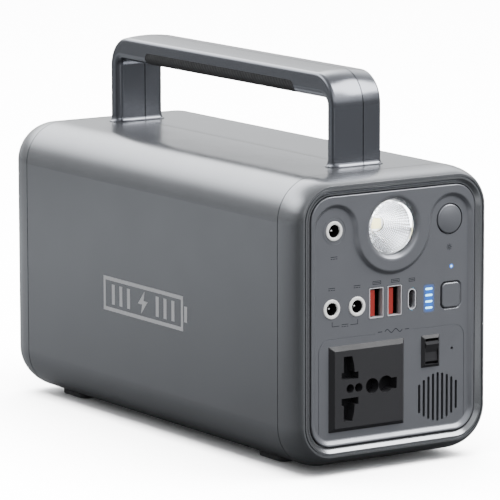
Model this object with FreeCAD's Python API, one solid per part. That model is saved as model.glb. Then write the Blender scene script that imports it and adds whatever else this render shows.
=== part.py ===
import FreeCAD, Part
import math
import os

from FreeCAD import Vector

# Portable power station: two housing shells, a deep front frame and a rear frame, a handle on top.
# Frame: +Z up, front panel towards -Y, origin under the middle of the housing at the feet's soles.
# All sizes are in millimetres.

# ---------------------------------------------------------------- driving dimensions
LENGTH = 257.5          # front ring to rear ring, along Y
HALF_WIDTH = 55.0
FOOT_HEIGHT = 3.5
BODY_TOP = 138.2
BODY_RADIUS = 20.0
WALL = 2.6
SEAM_X = 2.5            # the shells and the handle halves meet on this plane
SEAM_GAP = 0.2
JOINT_GAP = 0.5         # visible gap between a frame and the shells

FRONT_FRAME_DEPTH = 14.85
REAR_FRAME_DEPTH = 17.25
FRONT_FLANGE = (4.8, 11.0)  # depths of the shelf that carries the front panel
REAR_FLANGE = (4.2, 10.2)
SCREW_SEAT = 2.4        # frame screws sit this far behind the shelf's face

RING_HALF_WIDTH = 50.9
RING_CENTRE_Z = 72.1
RING_EXTRA_HEIGHT = 12.1
RING_RADIUS = 16.0
REAR_RING_HALF_WIDTH = 48.6
REAR_RING_RADIUS = 14.0

PANEL_HALF_WIDTH = 46.0
PANEL_HIGH = 0.8        # depth of the panel's upper land behind the front ring
PANEL_LOW = 2.3         # depth of the panel's lower field
PANEL_BACK = 4.8
SLOPE = 2.4             # width of the sloping step between the two levels

TORCH = (0.0, 113.0)
TORCH_RADIUS = 11.9
LENS_FRONT = 1.8        # depth of the torch lens behind the front ring
ARCH_X = 32.5
ARCH_Z = 114.0
ARCH_RADIUS = 12.7

LIGHT_BUTTON = (32.5, 114.0)
LIGHT_BUTTON_RADIUS = 6.9
POWER_BUTTON = (33.5, 78.1)
POWER_BUTTON_HALF = (5.2, 5.8)
BUTTON_FLANGE = (4.9, 5.9)   # depths of the hidden flanges that hold the buttons in

DC_JACKS = ((-32.5, 114.0), (-33.8, 77.9), (-19.7, 77.9))
DC_RING_RADIUS = 4.6
DC_BORE_RADIUS = 3.0
USB_A_PORTS = ((-8.8, 78.5), (1.5, 78.6))
USB_A_HALF = (3.95, 7.05)
USB_C_PORT = (11.3, 78.3)
GAUGE = (20.9, 77.7)
GAUGE_PITCH = 2.97
STATUS_LIGHT = (33.7, 91.6)
PIN_LIGHT = (34.2, 52.8)

SOCKET = (-14.4, 40.4)
SOCKET_HALF = (21.15, 20.1)
SOCKET_BEVEL = 2.1
SOCKET_FACE = 0.1       # depth of the socket's raised face
ROCKER = (21.8, 52.75)
ROCKER_HALF = (5.3, 7.6)
ROCKER_PIVOT_DEPTH = 4.5
ROCKER_TILT = 9.0
VENT = (26.15, 30.6)
VENT_PITCH = 2.63
VENT_LENGTHS = (13.7, 17.5, 20.3, 22.3, 23.3, 22.3, 20.3, 17.5, 13.7)

HANDLE_HALF_WIDTH = 13.8
HANDLE_HALF_LENGTH = 99.4
HANDLE_TOP = 182.1
HANDLE_LEG = 7.9
HANDLE_BAR = 12.5
HANDLE_OUTER_RADIUS = 16.0
HANDLE_INNER_RADIUS = 3.0
HANDLE_CROWN = 80.0     # radius of the slight crown across the handle's outer faces
HANDLE_EDGE = 2.0       # rounding of the handle's long edges
HANDLE_SEAM_GAP = 0.5
GRIP_HALF_LENGTH = 65.5
GRIP_HEIGHT = 6.0

FOOT_X = 28.5
FOOT_Y = (-78.75, 100.25)
FOOT_HALF = (8.0, 11.0)

BOARD_DEPTH = 20.0      # front circuit board behind the front ring
CELL_RADIUS = 9.15
CELL_PITCH = 19.3
CELL_ROWS = 7
CELL_COLUMNS = 4
PACK_Y = 15.5
CELL_BOTTOM = 8.1
CELL_LENGTH = 65.0
INVERTER_Z = 84.0
LEAD_Z = INVERTER_Z + 7.0

FAN = (0.0, 88.0)
FAN_HALF = 30.0
FAN_DEPTH = 15.0
FAN_BORE = 28.6
FAN_HUB = 11.5

X_AXIS = Vector(1, 0, 0)
Y_AXIS = Vector(0, 1, 0)
Z_AXIS = Vector(0, 0, 1)

BODY_CENTRE_Z = (BODY_TOP + FOOT_HEIGHT) / 2
BODY_HALF_HEIGHT = (BODY_TOP - FOOT_HEIGHT) / 2
RAIL_LENGTH = 18.0
RAILS = [(sx * 39.6, BODY_CENTRE_Z + sz * 52.35) for sx in (-1, 1) for sz in (-1, 1)]
BOARD_SCREWS = [(sx * 36.6, z) for sx in (-1, 1) for z in (66.5, 101.5)]


def front(depth):
    """Y of a plane this far behind the front ring."""
    return -LENGTH / 2 + depth


def rear(depth):
    """Y of a plane this far inside the rear ring."""
    return LENGTH / 2 - depth


# ---------------------------------------------------------------- shape helpers
def box(x0, x1, y0, y1, z0, z1):
    return Part.makeBox(x1 - x0, y1 - y0, z1 - z0, Vector(x0, y0, z0))


def cyl_x(radius, y, z, x0, x1):
    return Part.makeCylinder(radius, x1 - x0, Vector(x0, y, z), X_AXIS)


def cyl_y(radius, x, z, y0, y1):
    return Part.makeCylinder(radius, y1 - y0, Vector(x, y0, z), Y_AXIS)


def cyl_z(radius, x, y, z0, z1):
    return Part.makeCylinder(radius, z1 - z0, Vector(x, y, z0), Z_AXIS)


def joined(shapes):
    whole = shapes[0]
    for shape in shapes[1:]:
        whole = whole.fuse(shape)
    return whole.removeSplitter()


def without(shape, cutters):
    for cutter in cutters:
        shape = shape.cut(cutter)
    return shape


def group(shapes):
    return Part.Compound(shapes)


def polygon(points, y0, y1):
    """Prism along Y over a closed outline of (x, z) points."""
    outline = Part.makePolygon([Vector(x, y0, z) for x, z in points + points[:1]])
    return Part.Face(outline).extrude(Vector(0, y1 - y0, 0))


def side_polygon(points, x0, x1):
    """Prism along X over a closed outline of (y, z) points."""
    outline = Part.makePolygon([Vector(x0, y, z) for y, z in points + points[:1]])
    return Part.Face(outline).extrude(Vector(x1 - x0, 0, 0))


def arc(centre, radius, start, end, place):
    """Arc edge in a plane: place turns plane coordinates into a point."""
    points = []
    for angle in (start, (start + end) / 2, end):
        turn = math.radians(angle)
        points.append(place(centre[0] + radius * math.cos(turn), centre[1] + radius * math.sin(turn)))
    return Part.Arc(*points).toShape()


def rounded_wire(half_x, half_z, radius, centre, y):
    """Rounded rectangle in the plane at y."""
    def place(u, v):
        return Vector(u, y, v)
    cx, cz = centre
    ux = half_x - radius
    uz = half_z - radius
    edges = []
    for sx, sz, start in ((1, 1, 0), (-1, 1, 90), (-1, -1, 180), (1, -1, 270)):
        edges.append(arc((cx + sx * ux, cz + sz * uz), radius, start, start + 90, place))
    wire_edges = []
    for index, edge in enumerate(edges):
        wire_edges.append(edge)
        end = edge.Vertexes[-1].Point
        begin = edges[(index + 1) % 4].Vertexes[0].Point
        if end.distanceToPoint(begin) > 1e-6:
            wire_edges.append(Part.makeLine(end, begin))
    return Part.Wire(wire_edges)


def rounded_prism(half_x, half_z, radius, centre, y0, y1):
    return Part.Face(rounded_wire(half_x, half_z, radius, centre, y0)).extrude(Vector(0, y1 - y0, 0))


def slot_prism(length, width, centre, y0, y1):
    """Upright slot with round ends."""
    return rounded_prism(width / 2, length / 2, width / 2 - 0.001, centre, y0, y1)


def revolved(points, x, z):
    """Solid of revolution about the Y axis through (x, z), from (radius, y) points."""
    outline = Part.makePolygon([Vector(x + r, y, z) for r, y in points + points[:1]])
    return Part.Face(outline).revolve(Vector(x, 0, z), Y_AXIS, 360)


def screw_y(radius, head_radius, x, z, y_head, y_tip, head):
    """Screw along Y; the head stands from y_head away from the tip and has a cross recess."""
    way = 1 if y_tip > y_head else -1
    shank = Part.makeCylinder(radius, abs(y_tip - y_head), Vector(x, y_head, z), Vector(0, way, 0))
    cap = Part.makeCylinder(head_radius, head, Vector(x, y_head, z), Vector(0, -way, 0))
    low = min(y_head - way * head * 0.4, y_head - way * head * 1.1)
    high = max(y_head - way * head * 0.4, y_head - way * head * 1.1)
    cross = box(x - head_radius * 0.6, x + head_radius * 0.6, low, high, z - 0.3, z + 0.3)
    cross = cross.fuse(box(x - 0.3, x + 0.3, low, high, z - head_radius * 0.6, z + head_radius * 0.6))
    return shank.fuse(cap).cut(cross)


def ring_section(fraction, y, half_width, half_height, centre_z, radius):
    """Blend from the full housing outline (0) to a ring outline (1)."""
    def blend(a, b):
        return a + (b - a) * fraction
    return rounded_wire(blend(HALF_WIDTH, half_width), blend(BODY_HALF_HEIGHT, half_height),
                        blend(BODY_RADIUS, radius), (0, blend(BODY_CENTRE_Z, centre_z)), y)


def rounded_end(y_seam, y_end, reach, half_width, half_height, centre_z, radius):
    """Frame body whose side curves inwards like a quarter ellipse from the seam to the ring."""
    sections = []
    total = 1 - math.sqrt(1 - reach ** 2)
    for step in (0.0, 0.25, 0.45, 0.62, 0.77, 0.89, 1.0):
        inset = (1 - math.sqrt(1 - (reach * step) ** 2)) / total
        y = y_seam + (y_end - y_seam) * step
        sections.append(ring_section(inset, y, half_width, half_height, centre_z, radius))
    return Part.makeLoft(sections, True, False)


def ring_prism(half_width, y0, y1):
    """Prism concentric with the front ring."""
    radius = RING_RADIUS - (RING_HALF_WIDTH - half_width)
    return rounded_prism(half_width, half_width + RING_EXTRA_HEIGHT, radius, (0, RING_CENTRE_Z), y0, y1)


def body_prism(inset, y0, y1):
    return rounded_prism(HALF_WIDTH - inset, BODY_HALF_HEIGHT - inset, BODY_RADIUS - inset,
                         (0, BODY_CENTRE_Z), y0, y1)


# ---------------------------------------------------------------- housing
def rail(x, z, gap, y0, y1):
    """Screw rail in a corner of the shells, with a web that joins it to the wall."""
    half = 2.5 + gap
    reach = 11.4
    out = Vector(math.copysign(0.7071, x), 0, math.copysign(0.7071, z - BODY_CENTRE_Z))
    side = Vector(out.z, 0, -out.x)
    corners = []
    for along, across in ((0, -half), (reach, -half), (reach, half), (0, half)):
        point = Vector(x, 0, z) + out * along + side * across
        corners.append((point.x, point.z))
    return cyl_y(4.0 + gap, x, z, y0, y1).fuse(polygon(corners, y0, y1))


def shells():
    y0 = front(FRONT_FRAME_DEPTH + JOINT_GAP)
    y1 = rear(REAR_FRAME_DEPTH + JOINT_GAP)
    tube = body_prism(0, y0, y1).cut(body_prism(WALL, y0 - 1, y1 + 1))
    rails = []
    for start, seam, way in ((front(FRONT_FLANGE[1]), y0, 1), (rear(REAR_FLANGE[1]), y1, -1)):
        inner = start + way * RAIL_LENGTH
        for x, z in RAILS:
            rails.append(rail(x, z, 0, min(seam, inner), max(seam, inner)))
            rails.append(cyl_y(4.0, x, z, min(start, inner), max(start, inner)))
    bosses = [cyl_z(3.5, sx * FOOT_X, y, FOOT_HEIGHT + 1, 12.0) for sx in (-1, 1) for y in FOOT_Y]
    whole = joined([tube] + rails + bosses)
    front_end, rear_end = front(FRONT_FLANGE[1]), rear(REAR_FLANGE[1])
    drills = [cyl_y(1.5, x, z, front_end - 1, front_end + 16) for x, z in RAILS]
    drills += [cyl_y(1.5, x, z, rear_end - 16, rear_end + 1) for x, z in RAILS]
    drills += [cyl_z(1.5, sx * FOOT_X, y, 0, 11.0) for sx in (-1, 1) for y in FOOT_Y]
    drills += [cyl_z(1.5, x, y, 130, 140) for x, y in handle_screw_places()]
    whole = without(whole, drills)
    left = whole.cut(box(SEAM_X - SEAM_GAP / 2, 100, -200, 200, -10, 200))
    right = whole.cut(box(-100, SEAM_X + SEAM_GAP / 2, -200, 200, -10, 200))
    return left, right


def rail_clearance(y0, y1):
    return [rail(x, z, 0.2, y0, y1) for x, z in RAILS]


def tongue(y0, y1):
    """Thin ring that reaches from a frame into the shells."""
    return body_prism(WALL + 0.15, y0, y1).cut(body_prism(WALL + 1.5, y0 - 1, y1 + 1))


def corner_seats(outline, half_x, half_z, centre, y0, y1):
    """Gussets in the corners of a frame's shelf, where the frame screws pass."""
    return outline.cut(rounded_prism(half_x, half_z, 24.0, centre, y0 - 1, y1 + 1))


def front_frame():
    y_seam = front(FRONT_FRAME_DEPTH)
    face = front(0.0)
    seat, back = front(FRONT_FLANGE[0] + SCREW_SEAT), front(FRONT_FLANGE[1])
    body = rounded_end(y_seam, face, 0.955, RING_HALF_WIDTH, RING_HALF_WIDTH + RING_EXTRA_HEIGHT,
                       RING_CENTRE_Z, RING_RADIUS)
    lip = tongue(y_seam - 0.5, y_seam + 5.5)
    body = body.cut(body_prism(WALL + 0.2, back, y_seam + 1))
    body = body.cut(ring_prism(43.4, face - 1, y_seam + 1))
    gussets = corner_seats(ring_prism(43.5, seat, back), 43.5, 55.6, (0, RING_CENTRE_Z), seat, back)
    body = joined([body, lip, gussets])
    groove = ring_prism(50.1, face - 1, face + 0.7).cut(ring_prism(49.5, face - 2, face + 2))
    chamfer = Part.makeLoft([ring_outline(48.7, face), ring_outline(47.1, face + 1.5)], True, True)
    cutters = [groove, chamfer, ring_prism(46.6, face - 1, front(FRONT_FLANGE[0]))]
    cutters += rail_clearance(back, y_seam + 6)
    for x, z in RAILS:
        cutters.append(cyl_y(1.6, x, z, face, back + 1))
        cutters.append(cyl_y(3.0, x, z, face, seat))
    return without(body, cutters)


def ring_outline(half_width, y):
    radius = RING_RADIUS - (RING_HALF_WIDTH - half_width)
    return rounded_wire(half_width, half_width + RING_EXTRA_HEIGHT, radius, (0, RING_CENTRE_Z), y)


def rear_outline_prism(half_width, y0, y1):
    radius = REAR_RING_RADIUS - (REAR_RING_HALF_WIDTH - half_width)
    return rounded_prism(half_width, half_width + 12.35, radius, (0, BODY_CENTRE_Z), y0, y1)


def rear_frame():
    y_seam = rear(REAR_FRAME_DEPTH)
    face = rear(0.0)
    seat, back = rear(REAR_FLANGE[0] + SCREW_SEAT), rear(REAR_FLANGE[1])
    body = rounded_end(y_seam, face, 0.968, REAR_RING_HALF_WIDTH, REAR_RING_HALF_WIDTH + 12.35,
                       BODY_CENTRE_Z, REAR_RING_RADIUS)
    lip = tongue(y_seam - 5.5, y_seam + 0.5)
    body = body.cut(body_prism(WALL + 0.6, y_seam - 1, back))
    body = body.cut(rear_outline_prism(42.4, y_seam - 10, face + 1))
    centre = (0, BODY_CENTRE_Z)
    gussets = corner_seats(rear_outline_prism(42.5, back, seat), 42.5, 54.85, centre, back, seat)
    body = joined([body, lip, gussets])
    cutters = [rear_outline_prism(45.4, rear(REAR_FLANGE[0]), face + 1)]
    cutters += rail_clearance(y_seam - 6, back)
    for x, z in RAILS:
        cutters.append(cyl_y(1.6, x, z, back - 1, face))
        cutters.append(cyl_y(3.0, x, z, seat, face))
    for x, z in rear_panel_screw_places():
        cutters.append(cyl_y(1.25, x, z, rear(9), face))
    return without(body, cutters)


def frame_screws():
    screws = []
    front_seat, front_tip = front(FRONT_FLANGE[0] + SCREW_SEAT), front(FRONT_FLANGE[1] + 14)
    rear_seat, rear_tip = rear(REAR_FLANGE[0] + SCREW_SEAT), rear(REAR_FLANGE[1] + 14)
    for x, z in RAILS:
        screws.append(screw_y(1.5, 2.8, x, z, front_seat, front_tip, 1.9))
        screws.append(screw_y(1.5, 2.8, x, z, rear_seat, rear_tip, 1.9))
    return group(screws)


# ---------------------------------------------------------------- front panel
def wave_wire(offset, depth):
    """Outline of the lowered field: arches over the two round items and a dip under the torch."""
    y = front(depth)

    def place(u, v):
        return Vector(u, y, v)

    span = math.hypot(ARCH_X - TORCH[0], ARCH_Z - TORCH[1])
    arch = ARCH_RADIUS - offset
    dip = span - ARCH_RADIUS + offset
    lean = math.degrees(math.atan2(TORCH[1] - ARCH_Z, ARCH_X))
    side = ARCH_X + arch
    corner = 10.3 - offset
    bottom = 14.6 + offset
    edges = [
        arc((-ARCH_X, ARCH_Z), arch, 180, lean, place),
        arc(TORCH, dip, 180 + lean, 360 - lean, place),
        arc((ARCH_X, ARCH_Z), arch, 180 - lean, 0, place),
        Part.makeLine(place(side, ARCH_Z), place(side, bottom + corner)),
        arc((side - corner, bottom + corner), corner, 0, -90, place),
        Part.makeLine(place(side - corner, bottom), place(corner - side, bottom)),
        arc((corner - side, bottom + corner), corner, -90, -180, place),
        Part.makeLine(place(-side, bottom + corner), place(-side, ARCH_Z)),
    ]
    return Part.Wire(edges)


def lowered_field():
    steps = ((0.0, PANEL_HIGH - 0.3), (0.0, PANEL_HIGH), (0.5, 0.95), (1.2, 1.55), (1.9, 2.15),
             (SLOPE, PANEL_LOW))
    parts = []
    wires = [wave_wire(offset, depth) for offset, depth in steps]
    for outer, inner in zip(wires, wires[1:]):
        parts.append(Part.makeLoft([outer, inner], True, True))
    return parts


def torch_recess():
    x, z = TORCH
    y = front(0)
    return revolved([(0, y - 1), (15.4, y - 1), (15.4, y + 0.8), (14.6, y + 0.95), (13.7, y + 1.45),
                     (13.0, y + 2.2), (12.7, y + 2.8), (12.5, y + 3.4), (12.5, y + 6), (0, y + 6)], x, z)


def outline_groove():
    """Fine engraved line round the lower group of items, open where a mark is printed."""
    depth = front(PANEL_LOW) + 0.2
    outer = rounded_prism(41.15, 35.0, 6.0, (0, 29.1), front(0), depth)
    inner = rounded_prism(40.85, 34.7, 5.7, (0, 29.1), front(-1), depth + 1)
    line = outer.cut(inner).common(box(-50, 50, front(-1), depth, 20.2, 80))
    return line.cut(box(-9.6, 11.4, front(-1), depth, 60, 80))


def front_panel():
    plate = ring_prism(PANEL_HALF_WIDTH, front(PANEL_HIGH), front(PANEL_BACK))
    rim = [edge for edge in plate.Edges if abs(edge.BoundBox.YMax - front(PANEL_HIGH)) < 1e-3]
    plate = plate.makeFillet(0.5, rim)
    plate = without(plate, lowered_field())
    posts = [cyl_y(3.0, x, z, front(PANEL_BACK) - 0.5, front(BOARD_DEPTH)) for x, z in BOARD_SCREWS]
    plate = joined([plate] + posts)
    y0, y1 = front(-2), front(PANEL_BACK) + 0.1
    cutters = [torch_recess(), outline_groove()]
    cutters.append(cyl_y(LIGHT_BUTTON_RADIUS + 0.5, *LIGHT_BUTTON, y0, y1))
    half_x, half_z = POWER_BUTTON_HALF
    cutters.append(rounded_prism(half_x + 0.45, half_z + 0.45, 2.65, POWER_BUTTON, y0, y1))
    wide = rounded_wire(half_x + 1.0, half_z + 1.0, 3.2, POWER_BUTTON, front(PANEL_LOW - 0.05))
    narrow = rounded_wire(half_x + 0.45, half_z + 0.45, 2.65, POWER_BUTTON, front(PANEL_LOW + 0.5))
    cutters.append(Part.makeLoft([wide, narrow], True, True))
    for x, z in DC_JACKS:
        cutters.append(cyl_y(DC_RING_RADIUS + 0.05, x, z, y0, y1))
    circle = cyl_y(6.3, *DC_JACKS[0], front(0), front(PANEL_LOW) + 0.15)
    cutters.append(circle.cut(cyl_y(6.0, *DC_JACKS[0], front(-1), front(PANEL_LOW) + 1)))
    for x, z in USB_A_PORTS:
        cutters.append(rounded_prism(USB_A_HALF[0] + 0.25, USB_A_HALF[1] + 0.25, 0.5, (x, z), y0, y1))
    cutters.append(rounded_prism(2.7, 5.3, 2.6, USB_C_PORT, y0, y1))
    cutters.append(rounded_prism(3.3, 6.8, 0.9, GAUGE, y0, y1))
    cutters.append(cyl_y(1.1, *STATUS_LIGHT, y0, y1))
    cutters.append(cyl_y(0.7, *PIN_LIGHT, y0, y1))
    cutters.append(rounded_prism(18.6, 17.6, 0.6, SOCKET, y0, y1))
    cutters.append(rounded_prism(4.8, 6.9, 0.3, ROCKER, y0, y1))
    for index, length in enumerate(VENT_LENGTHS):
        cutters.append(slot_prism(length, 1.3, (VENT[0] + (index - 4) * VENT_PITCH, VENT[1]), y0, y1))
    for x, z in BOARD_SCREWS:
        cutters.append(cyl_y(1.0, x, z, front(PANEL_BACK) + 4, front(BOARD_DEPTH) + 1))
    return without(plate, cutters)


# ---------------------------------------------------------------- torch
def torch_lens():
    x, z = TORCH
    return cyl_y(TORCH_RADIUS, x, z, front(LENS_FRONT), front(PANEL_BACK))


def torch_reflector():
    """Stepped bowl with a skirt that stands on the front circuit board."""
    x, z = TORCH
    y = front(0)
    bowl = [(11.5, 4.8), (10.9, 6.3), (10.1, 8.0), (9.0, 9.8), (7.6, 11.6), (5.9, 13.2), (3.6, 14.6)]
    inner = [(r, y + d) for r, d in bowl]
    outer = [(12.6, y + 15.4), (12.6, y + BOARD_DEPTH), (13.4, y + BOARD_DEPTH), (13.4, y + 4.8)]
    return revolved(inner + [(3.6, y + 15.4)] + outer, x, z)


def torch_board():
    x, z = TORCH
    return cyl_y(12.4, x, z, front(15.45), front(17.05))


def torch_chip():
    x, z = TORCH
    return rounded_prism(2.4, 2.4, 0.4, (x, z), front(14.75), front(15.45))


# ---------------------------------------------------------------- push buttons
def light_button():
    """Round domed cap with a hidden flange and a stem."""
    x, z = LIGHT_BUTTON
    r = LIGHT_BUTTON_RADIUS
    y = front(0)
    flange, back = BUTTON_FLANGE
    return revolved([(0, y + 1.15), (2.4, y + 1.2), (4.4, y + 1.38), (5.9, y + 1.68), (6.6, y + 2.0),
                     (r, y + 2.35), (r, y + flange), (r + 1.1, y + flange), (r + 1.1, y + back),
                     (2.2, y + back), (2.2, y + 12.4), (1.7, y + 12.4), (1.7, y + 17.6), (0, y + 17.6)],
                    x, z)


def power_button():
    x, z = POWER_BUTTON
    half_x, half_z = POWER_BUTTON_HALF
    cap = rounded_prism(half_x, half_z, 2.2, (x, z), front(1.9), front(5.5))
    face = [edge for edge in cap.Edges if abs(edge.BoundBox.YMax - front(1.9)) < 1e-3]
    cap = cap.makeFillet(0.6, face)
    flange_front, flange_back = BUTTON_FLANGE
    flange = rounded_prism(half_x + 1.1, half_z + 1.1, 3.1, (x, z), front(flange_front), front(flange_back))
    stem = cyl_y(2.2, x, z, front(flange_back), front(12.4))
    tip = cyl_y(1.7, x, z, front(12.4), front(17.6))
    return joined([cap, flange, stem, tip])


def switch_body(place):
    """Push switch soldered on the front board; its bore takes the tip of a button's stem."""
    x, z = place
    case = rounded_prism(3.1, 3.1, 0.5, (x, z), front(15.6), front(BOARD_DEPTH))
    return case.cut(cyl_y(1.77, x, z, front(15), front(18.9)))


# ---------------------------------------------------------------- lights
def gauge_window():
    plate = rounded_prism(3.25, 6.75, 0.85, GAUGE, front(PANEL_LOW), front(PANEL_BACK))
    bars = [gauge_bar(index, PANEL_LOW - 1, PANEL_BACK + 1) for index in range(4)]
    return without(plate, bars)


def gauge_bar(index, depth0, depth1):
    z = GAUGE[1] + (index - 1.5) * GAUGE_PITCH
    return rounded_prism(2.0, 0.5, 0.49, (GAUGE[0], z), front(depth0), front(depth1))


def gauge_bars():
    return group([gauge_bar(index, PANEL_LOW, BOARD_DEPTH) for index in range(4)])


def status_light():
    x, z = STATUS_LIGHT
    return joined([cyl_y(1.1, x, z, front(PANEL_LOW), front(PANEL_BACK)),
                   cyl_y(1.6, x, z, front(PANEL_BACK), front(BOARD_DEPTH))])


def pin_light():
    x, z = PIN_LIGHT
    return joined([cyl_y(0.7, x, z, front(3.3), front(PANEL_BACK)),
                   cyl_y(1.5, x, z, front(PANEL_BACK), front(9.0))])


# ---------------------------------------------------------------- low voltage ports
def dc_jack_ring(place):
    """Light collar with a rolled rim; the black barrel starts right behind its lip."""
    x, z = place
    y = front(0)
    r = DC_BORE_RADIUS
    return revolved([(r, y + 2.4), (r + 0.2, y + 2.05), (r + 0.5, y + 1.9), (4.3, y + 1.9), (4.6, y + 2.2),
                     (4.6, y + 4.4), (4.0, y + 4.4), (4.0, y + 2.7), (r, y + 2.7)], x, z)


def dc_jack_body(place):
    x, z = place
    y = front(0)
    r = DC_BORE_RADIUS
    barrel = revolved([(r, y + 2.7), (4.0, y + 2.7), (4.0, y + 4.4), (4.6, y + 4.4), (4.6, y + 4.8),
                       (5.6, y + 4.8), (5.6, y + 6.2), (4.4, y + 6.2), (4.4, y + 15), (0, y + 15),
                       (0, y + 13), (r, y + 13)], x, z)
    block = box(x - 4.4, x + 4.4, front(15), front(BOARD_DEPTH), z - 4.4, z + 4.4)
    return joined([barrel, block])


def dc_jack_pin(place):
    x, z = place
    y = front(0)
    return revolved([(0, y + 4.1), (0.4, y + 4.2), (0.65, y + 4.45), (0.75, y + 4.85), (0.75, y + 13),
                     (0, y + 13)], x, z)


def usb_a_shell(place):
    half_x, half_z = USB_A_HALF
    shell = rounded_prism(half_x, half_z, 0.5, place, front(PANEL_LOW), front(BOARD_DEPTH))
    inside = rounded_prism(half_x - 0.35, half_z - 0.35, 0.3, place, front(0), front(BOARD_DEPTH) - 0.4)
    return shell.cut(inside)


def usb_a_tongue(place):
    """Coloured tongue on the left side of the port, with a back block."""
    x, z = place
    half_x, half_z = USB_A_HALF
    blade = rounded_prism(1.4, 6.1, 0.25, (x - 1.85, z), front(3.1), front(16.5))
    block = rounded_prism(half_x - 0.35, half_z - 0.35, 0.3, place, front(16), front(BOARD_DEPTH) - 0.4)
    return joined([blade, block])


def usb_a_contacts(place):
    x, z = place
    strips = []
    for offset in (-3.5, -1.0, 1.0, 3.5):
        strips.append(box(x - 0.45, x - 0.27, front(4.0), front(15.5), z + offset - 0.5, z + offset + 0.5))
    return strips


def usb_c_shell():
    shell = rounded_prism(2.3, 4.95, 2.25, USB_C_PORT, front(PANEL_LOW), front(BOARD_DEPTH))
    return shell.cut(rounded_prism(1.8, 4.45, 1.75, USB_C_PORT, front(0), front(9.5)))


def usb_c_tongue():
    return rounded_prism(0.4, 3.35, 0.2, USB_C_PORT, front(3.2), front(9.5))


def front_board():
    plate = box(-40, 40, front(BOARD_DEPTH), front(BOARD_DEPTH + 1.6), 63, 119)
    holes = [cyl_y(1.3, x, z, front(15), front(25)) for x, z in BOARD_SCREWS]
    return without(plate, holes)


def board_screws():
    head = front(BOARD_DEPTH + 1.6)
    return group([screw_y(1.0, 2.0, x, z, head, front(12), 1.2) for x, z in BOARD_SCREWS])


# ---------------------------------------------------------------- mains socket and rocker switch
def socket_holes(depth0, depth1):
    """Openings of a universal mains socket, as prisms."""
    cx, cz = SOCKET
    y0, y1 = front(depth0), front(depth1)
    upper = [(-14.1, 15.2), (-9.4, 15.2), (-8.3, 11.0), (-8.0, 7.6), (-5.9, 7.6), (-5.9, 4.3), (-15.3, 4.3),
             (-15.3, 7.8), (-14.1, 7.8)]
    prisms = []
    for sign in (1, -1):
        prisms.append(polygon([(cx + x, cz + sign * z) for x, z in upper], y0, y1))
    prisms.append(cyl_y(2.1, cx - 10.5, cz, y0, y1))
    prisms.append(cyl_y(2.1, cx - 5.75, cz, y0, y1))
    earth = [cyl_y(3.6, cx + 1.85, cz, y0, y1), cyl_y(4.0, cx + 9.5, cz, y0, y1),
             box(cx + 9.5, cx + 15.6, y0, y1, cz - 2.7, cz + 2.7)]
    prisms.append(joined(earth))
    return prisms


def socket_body():
    """Raised, bevelled face with a block behind the panel."""
    half_x, half_z = SOCKET_HALF
    base = rounded_wire(half_x, half_z, 0.4, SOCKET, front(PANEL_LOW))
    top = rounded_wire(half_x - SOCKET_BEVEL, half_z - SOCKET_BEVEL, 0.3, SOCKET, front(SOCKET_FACE))
    face = Part.makeLoft([base, top], True, True)
    block = rounded_prism(18.5, 17.5, 0.5, SOCKET, front(PANEL_LOW), front(24))
    return without(joined([face, block]), socket_holes(-1, 15))


def socket_shutters():
    """Safety shutters that close the openings a little behind the face."""
    return group(socket_holes(5.4, 7.0))


def socket_contacts():
    """Sprung brass plates at the bottom of the live, neutral and earth openings."""
    cx, cz = SOCKET
    plates = []
    for sign in (1, -1):
        z0, z1 = sorted((cz + sign * 8.2, cz + sign * 15.2))
        plates.append(box(cx - 14.1, cx - 13.5, front(11), front(15), z0, z1))
        z0, z1 = sorted((cz + sign * 4.3, cz + sign * 4.9))
        plates.append(box(cx - 15.3, cx - 5.9, front(11), front(15), z0, z1))
    plates.append(box(cx + 10.5, cx + 15.6, front(11), front(15), cz + 2.1, cz + 2.7))
    plates.append(box(cx + 10.5, cx + 15.6, front(11), front(15), cz - 2.7, cz - 2.1))
    return group(plates)


def rocker_bezel():
    half_x, half_z = ROCKER_HALF
    base = rounded_wire(half_x, half_z, 0.4, ROCKER, front(PANEL_LOW))
    top = rounded_wire(half_x - 1.35, half_z - 1.35, 0.3, ROCKER, front(1.0))
    rim = Part.makeLoft([base, top], True, True)
    block = rounded_prism(4.7, 6.8, 0.3, ROCKER, front(PANEL_LOW), front(13))
    body = joined([rim, block])
    x, z = ROCKER
    well = rounded_prism(3.75, 6.1, 0.2, ROCKER, front(0), front(11))
    pivots = cyl_x(0.95, front(ROCKER_PIVOT_DEPTH), z, x - 4.35, x + 4.35)
    return without(body, [well, pivots])


def rocker_paddle():
    """Paddle with a shallow V face and chamfered ends, its upper end standing out."""
    x, z = ROCKER
    half = [(0.75, 4.1), (1.9, 5.25), (3.4, 5.0), (6.4, 2.2)]
    profile = [(1.7, 0.0)] + half + [(depth, -height) for depth, height in reversed(half)]
    blade = side_polygon([(front(depth), z + height) for depth, height in profile], x - 3.6, x + 3.6)
    pins = cyl_x(0.9, front(ROCKER_PIVOT_DEPTH), z, x - 4.3, x + 4.3)
    paddle = joined([blade, pins])
    paddle.rotate(Vector(x, front(ROCKER_PIVOT_DEPTH), z), X_AXIS, ROCKER_TILT)
    return paddle


def rocker_terminals():
    x, z = ROCKER
    return group([box(x - 2.4, x + 2.4, front(13), front(19), z + offset - 0.4, z + offset + 0.4)
                  for offset in (-4.5, 0, 4.5)])


# ---------------------------------------------------------------- rear panel and fan
def rear_panel_screw_places():
    return [(sx * 42.0, BODY_CENTRE_Z + sz * 30.0) for sx in (-1, 1) for sz in (-1, 1)]


def fan_screw_places():
    return [(FAN[0] + sx * 25, FAN[1] + sz * 25) for sx in (-1, 1) for sz in (-1, 1)]


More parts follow.
